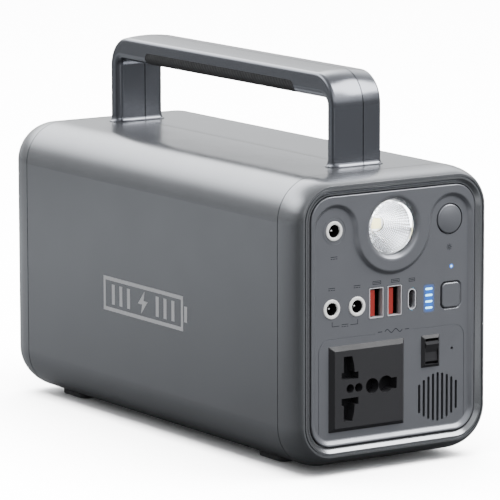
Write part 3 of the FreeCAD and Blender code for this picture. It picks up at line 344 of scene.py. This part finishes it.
def circuit_board(name, color):
    """Solder mask over faint copper tracks."""
    finish = Finish(name, color, 0.0, 0.35)
    tracks = finish.node("ShaderNodeTexBrick", offset=0.5)
    tracks.inputs["Scale"].default_value = 180.0
    tracks.inputs["Mortar Size"].default_value = 0.03
    tracks.inputs["Color1"].default_value = (*finish.tinted(1.0), 1.0)
    tracks.inputs["Color2"].default_value = (*finish.tinted(0.85), 1.0)
    tracks.inputs["Mortar"].default_value = (*finish.tinted(1.7), 1.0)
    finish.link(finish.place, tracks.inputs["Vector"])
    finish.link(tracks.outputs["Color"], finish.shader.inputs["Base Color"])
    finish.grain(0.8 * MM, 0.02 * MM)
    return finish.material


def floor_finish(name, color):
    """Matt studio floor."""
    finish = Finish(name, color, 0.0, 0.6)
    finish.vary_color(0.4, 0.01)
    finish.grain(2 * MM, 0.01 * MM)
    return finish.material


def shaded_floor(name, color):
    """Grey floor with painted shade, darkest near the object and lighter behind it, with a glowing strip
    forward from its left front edge.
    """
    finish = Finish(name, color, 0.0, 0.6)
    clouds = finish.vary_color(0.4, 0.01)
    forward = finish.axis("Y")
    # Painted shade: the floor that the object reflects is darkened near it, standing in for its shadow.
    behind = finish.ranged(forward, 0.0, 1.0, 0.0, 0.6)
    far = finish.ranged(forward, 0.0, 1.0, 0.65, 0.85)
    back = finish.mixed(far, finish.mixed(behind, finish.tinted(0.22), clouds), finish.tinted(0.3))
    beside = finish.ranged(forward, 0.0, 1.0, -0.32, -0.16)
    finish.link(finish.mixed(beside, finish.tinted(0.45), back), finish.shader.inputs["Base Color"])
    slanted = finish.math("MULTIPLY", forward, -0.5)
    from_strip = finish.math("ABSOLUTE", finish.math("ADD", finish.axis("X"), slanted))
    strip = finish.ranged(from_strip, 1.0, 0.0, 0.04, 0.09)
    in_front = finish.ranged(forward, STRIP_GLOW, 0.0, -0.3, -0.2)
    finish.shader.inputs["Emission Color"].default_value = (1.0, 1.0, 1.0, 1.0)
    finish.link(finish.math("MULTIPLY", strip, in_front), finish.shader.inputs["Emission Strength"])
    return finish.material


# ---------------------------------------------------------------- mesh helpers
def add_object(name, mesh, body, material, smooth_angle=35.0):
    """Links a mesh, rides it on a CAD body and gives it its finish."""
    made = bpy.data.objects.new(name, mesh)
    bpy.context.scene.collection.objects.link(made)
    made.data.materials.append(material)
    mesh.shade_smooth()
    mesh.set_sharp_from_angle(angle=math.radians(smooth_angle))
    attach(made, body)
    return made


def grid_faces(rows, columns):
    """Quads between the points of a rows by columns grid whose columns close into a ring."""
    faces = []
    for row in range(rows - 1):
        for column in range(columns):
            after = (column + 1) % columns
            faces.append((row * columns + column, row * columns + after,
                          (row + 1) * columns + after, (row + 1) * columns + column))
    return faces


def mesh_from(name, points, faces):
    """Mesh with doubled points joined and its normals outwards."""
    mesh = bpy.data.meshes.new(name)
    mesh.from_pydata(points, [], faces)
    shape = bmesh.new()
    shape.from_mesh(mesh)
    bmesh.ops.remove_doubles(shape, verts=shape.verts, dist=1e-7)
    bmesh.ops.recalc_face_normals(shape, faces=shape.faces)
    shape.to_mesh(mesh)
    shape.free()
    return mesh


def revolved(name, profile, x, z, segments=96):
    """Solid of revolution about a Y axis; profile is a closed loop of (radius, depth) in millimetres."""
    points = []
    for radius, depth in profile:
        for step in range(segments):
            turn = 2 * math.pi * step / segments
            across, up = radius * MM * math.cos(turn), radius * MM * math.sin(turn)
            points.append((x + across, FRONT_Y + depth * MM, z + up))
    rows = len(profile)
    faces = []
    for row in range(rows):
        after = (row + 1) % rows
        for step in range(segments):
            turn = (step + 1) % segments
            faces.append((row * segments + step, row * segments + turn, after * segments + turn,
                          after * segments + step))
    return mesh_from(name, points, faces)


def arc_points(centre, radius, start, end, count):
    """Points of (radius, depth) along an arc in a profile."""
    points = []
    for step in range(count + 1):
        turn = math.radians(start + (end - start) * step / count)
        points.append((centre[0] + radius * math.cos(turn), centre[1] + radius * math.sin(turn)))
    return points


def middle(node):
    """Centre of a CAD node's box."""
    low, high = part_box(node)
    return (low + high) / 2


# ---------------------------------------------------------------- grip
GRIP_PITCH = 2.4 * MM
GRIP_RELIEF = 0.28 * MM
GRIP_SLANT = 0.8
GRIP_ROUND = 3.9 * MM
GRIP_END_RADIUS = 3.5 * MM
# Over these lengths the ribs rise from nothing, at both ends and along the top edges.
GRIP_END_FADE = 2.5 * MM
GRIP_TOP_FADE = 1.2 * MM


def grip_section(low, high):
    """Section of the grip in X and Z with outward normals, from one top edge round to the other."""
    half = high.x
    flat = half - GRIP_ROUND
    wall_steps, bend_steps, flat_steps = 4, 12, 40
    side = []
    for step in range(wall_steps + 1):
        side.append((-half, high.z + (low.z + GRIP_ROUND - high.z) * step / wall_steps, -1.0, 0.0))
    for step in range(1, bend_steps):
        turn = math.radians(180 + 90 * step / bend_steps)
        nx, nz = math.cos(turn), math.sin(turn)
        side.append((-half + GRIP_ROUND + GRIP_ROUND * nx, low.z + GRIP_ROUND * (1 + nz), nx, nz))
    bottom = [(-flat + 2 * flat * step / flat_steps, low.z, 0.0, -1.0) for step in range(flat_steps + 1)]
    return side + bottom + [(-x, z, -nx, nz) for x, z, nx, nz in reversed(side)]


def ribbed_grip(material):
    """Soft insert under the handle bar with slanting ribs all the way round."""
    low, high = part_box("grip_insert")
    section = grip_section(low, high)
    rows = 360
    points = []
    for row in range(rows + 1):
        y = low.y + (high.y - low.y) * row / rows
        from_end = min(y - low.y, high.y - y)
        drop = 0.0
        if from_end < GRIP_END_RADIUS:
            drop = GRIP_END_RADIUS - math.sqrt(GRIP_END_RADIUS ** 2 - (GRIP_END_RADIUS - from_end) ** 2)
        along = 0.0
        before = section[0]
        for x, z, nx, nz in section:
            along += math.hypot(x - before[0], z - before[1])
            before = (x, z)
            wave = math.sin(2 * math.pi * (y + along * GRIP_SLANT) / GRIP_PITCH)
            fade = min(from_end / GRIP_END_FADE, (high.z - z) / GRIP_TOP_FADE, 1.0)
            lift = GRIP_RELIEF * (0.5 * math.tanh(2.2 * wave) - 0.3) * max(fade, 0.0)
            points.append((x + nx * lift, y, min(z + nz * lift, high.z - drop)))
    columns = len(section)
    faces = grid_faces(rows + 1, columns)
    faces.append(tuple(range(columns)))
    faces.append(tuple(rows * columns + column for column in range(columns)))
    mesh = mesh_from("grip_ribbed", points, faces)
    grip = add_object("grip_ribbed", mesh, "housing", material)
    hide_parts("grip_insert")


# ---------------------------------------------------------------- torch
def faceted_reflector(material, groove_shade_material):
    """Bowl of small pillow-shaped mirror facets with fine grooves between them, coated dark as painted
    shade, inside a plain skirt.
    """
    centre = middle("torch_reflector")
    rings, segments = 14, 48
    steps = (0.1, 0.37, 0.63, 0.9)
    parts = len(steps)
    rim, throat = 11.5, 3.6
    mouth, bowl_depth, curve = 4.8, 9.9, 1.9
    pillow_height = 0.13
    columns = segments * parts
    points = []

    def add_point(radius, depth, column):
        turn = 2 * math.pi * (column // parts + steps[column % parts]) / segments
        points.append((centre.x + radius * MM * math.cos(turn), FRONT_Y + depth * MM,
                       centre.z + radius * MM * math.sin(turn)))

    for row in range(rings * parts):
        radius = rim - (rim - throat) * (row // parts + steps[row % parts]) / rings
        depth = mouth + bowl_depth * (1 - (radius / rim) ** curve) / (1 - (throat / rim) ** curve)
        across = math.sin(math.pi * steps[row % parts])
        for column in range(columns):
            pillow = pillow_height * across * math.sin(math.pi * steps[column % parts])
            add_point(radius - pillow, depth - pillow, column)
    skirt = ((throat, 15.4), (12.6, 15.4), (12.6, 20.0), (13.4, 20.0), (13.4, mouth))
    for radius, depth in skirt:
        for column in range(columns):
            add_point(radius, depth, column)
    rows = rings * parts + len(skirt)
    faces = grid_faces(rows, columns)
    last = (rows - 1) * columns
    for column in range(columns):
        after = (column + 1) % columns
        faces.append((last + column, last + after, after, column))
    mesh = mesh_from("torch_bowl", points, faces)
    bowl = add_object("torch_bowl", mesh, "housing", material, 30.0)
    mesh.materials.append(groove_shade_material)
    for number, polygon in enumerate(mesh.polygons):
        row, column = divmod(number, columns)
        if row < rings * parts and parts - 1 in (row % parts, column % parts):
            polygon.material_index = 1
    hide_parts("torch_reflector")


def domed_lens(material):
    """Clear lens with a softly domed front and rounded rim."""
    low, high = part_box("torch_lens")
    centre = middle("torch_lens")
    radius = (high.x - low.x) / 2 / MM
    front = (low.y - FRONT_Y) / MM
    back = (high.y - FRONT_Y) / MM
    steps = 13
    crown, rim = 0.35, 0.5
    profile = [(0.0, front)]
    for step in range(1, steps):
        part = step / steps
        profile.append((radius * part, front + crown * part ** 2))
    profile += arc_points((radius - rim, front + (crown + rim)), rim, -80, 0, 5)
    profile += [(radius, back), (0.0, back)]
    mesh = revolved("torch_glass", profile, centre.x, centre.z)
    lens = add_object("torch_glass", mesh, "housing", material)
    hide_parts("torch_lens")


def led_chip(material):
    """Square phosphor field with rounded, slightly raised corners."""
    low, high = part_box("torch_chip")
    centre = middle("torch_chip")
    half = (high.x - low.x) / 2
    segments = 32
    layers = ((high.y, 1.0), (low.y + 0.25 * MM, 1.0), (low.y + 0.08 * MM, 0.94), (low.y, 0.8))
    points = []
    for depth, scale in layers:
        for step in range(segments):
            turn = 2 * math.pi * (step + 0.5) / segments
            reach = half * scale / max(abs(math.cos(turn)), abs(math.sin(turn))) ** 0.85
            points.append((centre.x + reach * math.cos(turn), depth, centre.z + reach * math.sin(turn)))
    faces = grid_faces(len(layers), segments)
    faces.append(tuple(range(segments)))
    faces.append(tuple(range(len(points) - segments, len(points))))
    mesh = mesh_from("torch_phosphor", points, faces)
    chip = add_object("torch_phosphor", mesh, "housing", material)
    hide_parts("torch_chip")


# ---------------------------------------------------------------- round panel items
def domed_button(material):
    """Round torch button: crowned face, rolled edge, hidden flange and stem."""
    low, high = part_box("light_button")
    centre = middle("light_button")
    top = (low.y - FRONT_Y) / MM
    tip = (high.y - FRONT_Y) / MM
    radius, roll = 6.9, 0.8
    face, crown, steps = 6.1, 26.0, 14
    profile = [(0.0, top)]
    for step in range(1, steps + 1):
        reach = face * step / steps
        profile.append((reach, top + crown - math.sqrt(crown ** 2 - reach ** 2)))
    edge = profile[-1][1]
    profile += arc_points((radius - roll, edge + roll), roll, -78, 0, 6)
    flange, stem, spindle = radius + 1.1, 2.2, 1.7
    flange_front, flange_back, stem_end = 4.9, 5.9, 12.4
    profile += [(radius, flange_front), (flange, flange_front), (flange, flange_back), (stem, flange_back),
                (stem, stem_end), (spindle, stem_end), (spindle, tip), (0.0, tip)]
    mesh = revolved("light_dome", profile, centre.x, centre.z)
    button = add_object("light_dome", mesh, "light_key", material)
    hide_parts("light_button")


def jack_fittings(ring_material, pin_material):
    """White rolled rings and round-nosed pins of the three barrel jacks."""
    places = ((-32.5, 114.0), (-33.8, 77.9), (-19.7, 77.9))
    for number, (x, z) in enumerate(places, 1):
        inner = arc_points((3.35, 2.2), 0.35, 180, 270, 6)
        outer = arc_points((4.1, 2.35), 0.5, 270, 360, 8)
        profile = [(3.0, 2.7)] + inner + outer + [(4.6, 4.4), (4.0, 4.4), (4.0, 2.7)]
        mesh = revolved(f"jack_ring_{number}", profile, x * MM, z * MM)
        add_object(f"jack_ring_{number}", mesh, "housing", ring_material)
        nose = arc_points((0.0, 4.85), 0.75, -90, 0, 8)
        mesh = revolved(f"jack_pin_{number}", nose + [(0.75, 13.0), (0.0, 13.0)], x * MM, z * MM, 32)
        add_object(f"jack_pin_{number}", mesh, "housing", pin_material)
    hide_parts("dc_jack_rings")
    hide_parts("dc_jack_pins")


# ---------------------------------------------------------------- printed marks
# In millimetres: how far the ink reaches into its surface, how high it stands, the difference between
# pieces that cross, and how deep the lowered field of the front panel lies.
INK_SUNK = 0.01
INK_HEIGHT = 0.03
INK_STEP = 0.003
FIELD_DEPTH = 2.3


def stroke(points, width):
    """Outlines of the straight pieces of a line, each half a width longer at both ends."""
    outlines = []
    for start, end in zip(points, points[1:]):
        along = (Vector(end) - Vector(start)).normalized() * width / 2
        across = Vector((-along.y, along.x))
        first, last = Vector(start) - along, Vector(end) + along
        outlines.append([first + across, first - across, last - across, last + across])
    return outlines


def ring_points(radius):
    """Closed ring of straight pieces."""
    pieces = 16
    turns = [2 * math.pi * step / pieces for step in range(pieces + 1)]
    return [(radius * math.cos(turn), radius * math.sin(turn)) for turn in turns]


def frame_points(half_u, half_v):
    """Closed rectangle."""
    return [(-half_u, -half_v), (half_u, -half_v), (half_u, half_v), (-half_u, half_v), (-half_u, -half_v)]


def direct_current_sign():
    """Solid line over three dashes."""
    outlines = stroke([(-1.7, 0.45), (1.7, 0.45)], 0.3)
    for start in (-1.7, -0.35, 1.0):
        outlines += stroke([(start, -0.45), (start + 0.7, -0.45)], 0.3)
    return outlines


def alternating_current_sign():
    """Two waves between short dashes."""
    wave = [(step * 0.3, 0.8 * math.sin(math.pi * step / 8)) for step in range(-16, 17)]
    outlines = stroke(wave, 0.34)
    for start in (-8.6, 6.6):
        outlines += stroke([(start, 0.0), (start + 2.0, 0.0)], 0.34)
    return outlines


def lamp_sign():
    """Small sun."""
    outlines = stroke(ring_points(0.55), 0.28)
    for step in range(8):
        turn = math.pi * step / 4
        ray = [(reach * math.cos(turn), reach * math.sin(turn)) for reach in (0.95, 1.45)]
        outlines += stroke(ray, 0.28)
    return outlines


def socket_sign(half_u):
    """Port outline with a bar inside."""
    return stroke(frame_points(half_u, 0.7), 0.26) + stroke([(0.6 - half_u, 0.0), (half_u - 0.6, 0.0)], 0.3)


def pair_bracket():
    """Line that joins the two lower jacks, open in the middle for a sign."""
    outlines = direct_current_sign()
    for side in (-1, 1):
        outlines += stroke([(side * 7.1, 2.0), (side * 7.1, 0.0), (side * 3.2, 0.0)], 0.26)
    return outlines


def charge_sign():
    """Accumulator outline with a bolt, for the long side."""
    outlines = stroke(frame_points(35.0, 7.5), 1.8) + stroke([(38.2, -2.6), (38.2, 2.6)], 2.4)
    for place in (-27.0, -20.0, -13.0, 13.0, 20.0, 27.0):
        outlines += stroke([(place, -3.6), (place, 3.6)], 2.6)
    bolt = [(1.6, 5.6), (-4.4, -0.9), (-0.6, -0.9), (-1.6, -5.6), (4.4, 0.9), (0.6, 0.9)]
    return outlines + [bolt]


def printed(name, outlines, place, material):
    """Thin ink prisms, neighbours a hair apart in height; place turns (u, v, lift) in mm into a point."""
    points = []
    faces = []
    for number, outline in enumerate(outlines):
        first = len(points)
        count = len(outline)
        for lift in (-INK_SUNK, INK_HEIGHT + INK_STEP * (number % 5)):
            points += [place(u, v, lift) for u, v in outline]
        faces.append(tuple(range(first, first + count)))
        faces.append(tuple(range(first + count, first + 2 * count)))
        for step in range(count):
            after = (step + 1) % count
            faces.append((first + step, first + after, first + count + after, first + count + step))
    mesh = bpy.data.meshes.new(name)
    mesh.from_pydata(points, [], faces)
    add_object(name, mesh, "housing", material)


def panel_marks(material):
    """Generic pictograms on the lowered field of the front panel."""
    marks = {"mark_input": (direct_current_sign(), -32.5, 101.6), "mark_light": (lamp_sign(), 32.4, 100.8),
             "mark_jack_left": (direct_current_sign(), -33.8, 87.2),
             "mark_jack_right": (direct_current_sign(), -19.7, 87.2),
             "mark_port_1": (socket_sign(2.2), -8.6, 87.9), "mark_port_2": (socket_sign(2.2), 1.8, 87.9),
             "mark_port_3": (socket_sign(1.6), 11.2, 87.4), "mark_pair": (pair_bracket(), -26.4, 69.8),
             "mark_mains": (alternating_current_sign(), 0.9, 64.6)}
    for name, (outlines, x, z) in marks.items():
        def place(u, v, lift, x=x, z=z):
            return (x + u) * MM, FRONT_Y + (FIELD_DEPTH - lift) * MM, (z + v) * MM

        printed(name, outlines, place, material)


def side_mark(material):
    """Accumulator pictogram on the left side."""
    left = cad_box[0][0]
    centre_y, centre_z = 2.6, 64.0

    def place(u, v, lift):
        return left - lift * MM, (centre_y - u) * MM, (centre_z + v) * MM

    printed("mark_side", charge_sign(), place, material)


# ---------------------------------------------------------------- CAD nodes keep their shape
def dress(material, *nodes):
    """Gives CAD nodes a finish."""
    for node in nodes:
        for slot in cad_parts[node].material_slots:
            slot.material = material


def dress_cad_nodes():
    shell_coat = coated_metal("shell_coat", SHELL_COLOR, 0.85, low=0.22, high=0.28, seam_shade=True)
    dress(shell_coat, "left_shell", "right_shell")
    frame_coat = coated_metal("frame_coat", SHELL_COLOR, 0.85, low=0.22, high=0.28)
    dress(frame_coat, "front_frame", "rear_frame")
    handle_color = (0.11, 0.115, 0.13)
    handle_coat = coated_metal("handle_coat_metal", handle_color, 0.9, low=0.2, high=0.26, coat=0.35)
    dress(handle_coat, "handle_left", "handle_right")
    panel = moulded_plastic("panel_satin", PANEL_COLOR, 0.28, 0.36, metallic=0.6)
    dress(panel, "front_panel", "power_button")
    dress(moulded_plastic("rear_matte", (0.10, 0.105, 0.11)), "rear_panel")
    socket = moulded_plastic("socket_satin", (0.024, 0.024, 0.026), 0.4, 0.5, shine=0.2)
    dress(socket, "socket_body", "rocker_bezel")
    dress(moulded_plastic("paddle_matte", (0.026, 0.026, 0.028), 0.6, 0.7, shine=0.05), "rocker_paddle")
    black = moulded_plastic("black_matte", (0.007, 0.007, 0.008), 0.5, 0.7, shine=0.15)
    dress(black, "socket_shutters", "dc_jack_bodies", "light_switch", "power_switch", "usb_c_tongue",
          "cell_holder_lower", "cell_holder_upper", "fan_frame", "fan_impeller", "bms_parts")
    dress(soft_rubber("foot_rubber_black", (0.02, 0.02, 0.021)), "feet")
    dress(plated_metal("screw_zinc", (0.35, 0.35, 0.36)),
          "frame_screws", "rear_panel_screws", "handle_screws", "foot_screws", "board_screws", "fan_screws")
    dress(port_metal("port_tin_painted_shade", (0.62, 0.62, 0.65)), "usb_a_shells", "usb_c_shell")
    dress(plated_metal("nickel_bright", (0.62, 0.61, 0.6)), "nickel_strips")
    gold = plated_metal("contact_gold", (0.8, 0.6, 0.28))
    dress(gold, "usb_a_contacts", "socket_contacts", "rocker_terminals")
    dress(gloss_plastic("tongue_red", (0.24, 0.016, 0.012), 0.35), "usb_a_tongues")
    dress(halo_window("gauge_tint_painted_glow"), "gauge_window")
    dress(glowing_plastic("gauge_glow", (0.3, 0.7, 1.0), 2.8), "gauge_bars")
    dress(point_light("status_glow"), "status_light")
    dress(gloss_plastic("pin_smoked", (0.02, 0.02, 0.022)), "pin_light")
    dress(plated_metal("board_aluminium_plain", (0.75, 0.75, 0.76), 0.3, 0.45), "torch_board")
    dress(circuit_board("board_mask", (0.02, 0.13, 0.05)), "front_board", "bms_board", "inverter_board")
    dress(gloss_plastic("cell_sleeve", (0.08, 0.25, 0.5), 0.3), "cells")
    dress(moulded_plastic("ferrite_core", (0.05, 0.05, 0.052), 0.6, 0.8), "transformer_core")
    dress(plated_metal("copper_wire", (0.7, 0.28, 0.1)), "transformer_winding")
    dress(gloss_plastic("capacitor_blue", (0.03, 0.04, 0.12), 0.3), "capacitors")
    dress(plated_metal("sink_extruded", (0.5, 0.5, 0.52), 0.35, 0.5), "heat_sinks")
    dress(moulded_plastic("terminal_green", (0.05, 0.25, 0.08)), "terminal_block")
    dress(soft_rubber("lead_red_silicone", (0.45, 0.02, 0.02)), "lead_positive")
    dress(soft_rubber("lead_black_silicone", (0.015, 0.015, 0.015)), "lead_negative")


# ---------------------------------------------------------------- studio
# Brightness of the wall behind, its right part, the wall in front, the room and the floor strip.
WALL_LOW = 0.45
WALL_HIGH = 7.0
WALL_RIGHT = 0.75
WALL_FRONT = 2.2
ROOM_LOW = 0.12
ROOM_HIGH = 0.7
STRIP_GLOW = 1.4

FLOOR_HALF = 6.0


def add_ground(name, height, material):
    """Square sheet of floor."""
    mesh = bpy.data.meshes.new(name)
    signs = ((-1, -1), (1, -1), (1, 1), (-1, 1))
    mesh.from_pydata([(x * FLOOR_HALF, y * FLOOR_HALF, height) for x, y in signs], [], [(0, 1, 2, 3)])
    ground = bpy.data.objects.new(name, mesh)
    bpy.context.scene.collection.objects.link(ground)
    mesh.materials.append(material)
    return ground


def add_floor():
    """Pale floor for the eye, and under it a greyer one that the object reflects."""
    floor = add_ground("floor", 0.0, floor_finish("floor_pale", (0.9, 0.9, 0.9)))
    floor.visible_diffuse = False
    floor.visible_glossy = False
    mirrored = add_ground("floor_mirrored", -0.2 * MM, shaded_floor("floor_grey", (0.48, 0.49, 0.504)))
    mirrored.visible_camera = False
    mirrored.visible_diffuse = False
    return floor


def only_lights(light, lit):
    """Light linking: the light reaches nothing but one object."""
    receivers = bpy.data.collections.new(light.name + "_receivers")
    receivers.objects.link(lit)
    light.light_linking.receiver_collection = receivers


def add_area_light(name, place, target, size, power):
    """Square white softbox that faces its target."""
    data = bpy.data.lights.new(name, "AREA")
    data.shape = "SQUARE"
    data.size = size
    data.energy = power
    light = bpy.data.objects.new(name, data)
    bpy.context.scene.collection.objects.link(light)
    light.location = place
    light.rotation_euler = (Vector(target) - Vector(place)).to_track_quat("-Z", "Y").to_euler()
    return light


def add_world():
    """Studio surroundings: a bright wall behind, weaker on the right and overhead, and one in front."""
    world = bpy.data.worlds.new("studio")
    world.use_nodes = True
    nodes = world.node_tree.nodes
    links = world.node_tree.links
    place = nodes.new("ShaderNodeTexCoord")
    split = nodes.new("ShaderNodeSeparateXYZ")
    links.new(place.outputs["Generated"], split.inputs["Vector"])

    def ranged(axis, start, end, low, high):
        ramp = nodes.new("ShaderNodeMapRange")
        ramp.interpolation_type = "SMOOTHSTEP"
        ramp.inputs["From Min"].default_value = start
        ramp.inputs["From Max"].default_value = end
        ramp.inputs["To Min"].default_value = low
        ramp.inputs["To Max"].default_value = high
        links.new(split.outputs[axis], ramp.inputs["Value"])
        return ramp.outputs["Result"]

    def combined(operation, first, second):
        node = nodes.new("ShaderNodeMath")
        node.operation = operation
        links.new(first, node.inputs[0])
        links.new(second, node.inputs[1])
        return node.outputs["Value"]

    behind = ranged("Y", -0.1, 0.6, 0.0, 1.0)
    wall = combined("MULTIPLY", behind, ranged("Z", 0.22, 0.6, WALL_LOW, WALL_HIGH))
    wall = combined("MULTIPLY", wall, ranged("X", 0.42, 0.58, 1.0, 0.35))
    wall = combined("MULTIPLY", wall, ranged("Z", 0.66, 0.86, 1.0, 0.1))
    side = combined("MULTIPLY", behind, ranged("X", -0.4, 0.5, 0.0, WALL_RIGHT))
    front = combined("MULTIPLY", ranged("Y", -0.9, -0.3, WALL_FRONT, 0.0), ranged("Z", 0.0, 0.35, 0.0, 1.0))
    room = ranged("Z", -0.3, 0.9, ROOM_LOW, ROOM_HIGH)
    walls = combined("ADD", combined("ADD", wall, side), front)
    background = nodes["Background"]
    background.inputs["Color"].default_value = (0.97, 0.985, 1.0, 1.0)
    links.new(combined("ADD", walls, room), background.inputs["Strength"])
    bpy.context.scene.world = world


def add_camera():
    """Camera at the viewing angle of the picture."""
    azimuth = math.radians(CAMERA_AZIMUTH)
    elevation = math.radians(CAMERA_ELEVATION)
    forward = Vector((-math.sin(azimuth) * math.cos(elevation), math.cos(azimuth) * math.cos(elevation),
                      -math.sin(elevation)))
    data = bpy.data.cameras.new("camera")
    data.lens = CAMERA_LENS
    data.sensor_width = 36.0
    data.clip_end = 50.0
    camera = bpy.data.objects.new("camera", data)
    bpy.context.scene.collection.objects.link(camera)
    camera.location = CAMERA_TARGET - forward * CAMERA_DISTANCE
    turn = forward.to_track_quat("-Z", "Y") @ Quaternion((0, 0, 1), math.radians(CAMERA_ROLL))
    camera.rotation_euler = turn.to_euler()
    bpy.context.scene.camera = camera


def build():
    dress_cad_nodes()
    ribbed_grip(soft_rubber("grip_black", (0.012, 0.012, 0.013)))
    # Painted shade: the dark coat on the grooves between the facets stands in for their shade.
    grooves = mirror_coat("mirror_groove_shade", (0.2, 0.2, 0.21))
    faceted_reflector(mirror_coat("mirror_facets", (0.8, 0.81, 0.83)), grooves)
    domed_lens(clear_lens("lens_glass"))
    led_chip(phosphor("phosphor_lemon"))
    domed_button(moulded_plastic("dome_satin", PANEL_COLOR, 0.28, 0.36, metallic=0.6))
    pin_nickel = plated_metal("pin_nickel", (0.7, 0.7, 0.7))
    jack_fittings(gloss_plastic("ring_white", (0.78, 0.78, 0.76)), pin_nickel)
    panel_marks(moulded_plastic("ink_dark", (0.02, 0.021, 0.025), shine=0.1))
    side_mark(gloss_plastic("ink_pale", (0.4, 0.4, 0.41), 0.5))
    floor = add_floor()
    add_world()
    only_lights(add_area_light("floor_wash", (0.0, 0.0, 4.0), (0, 0, 0), size=6.0, power=4200.0), floor)
    add_area_light("key", (1.08, -0.95, 1.5), (0, -0.1, 0.1), size=1.3, power=90.0)
    add_camera()


build()
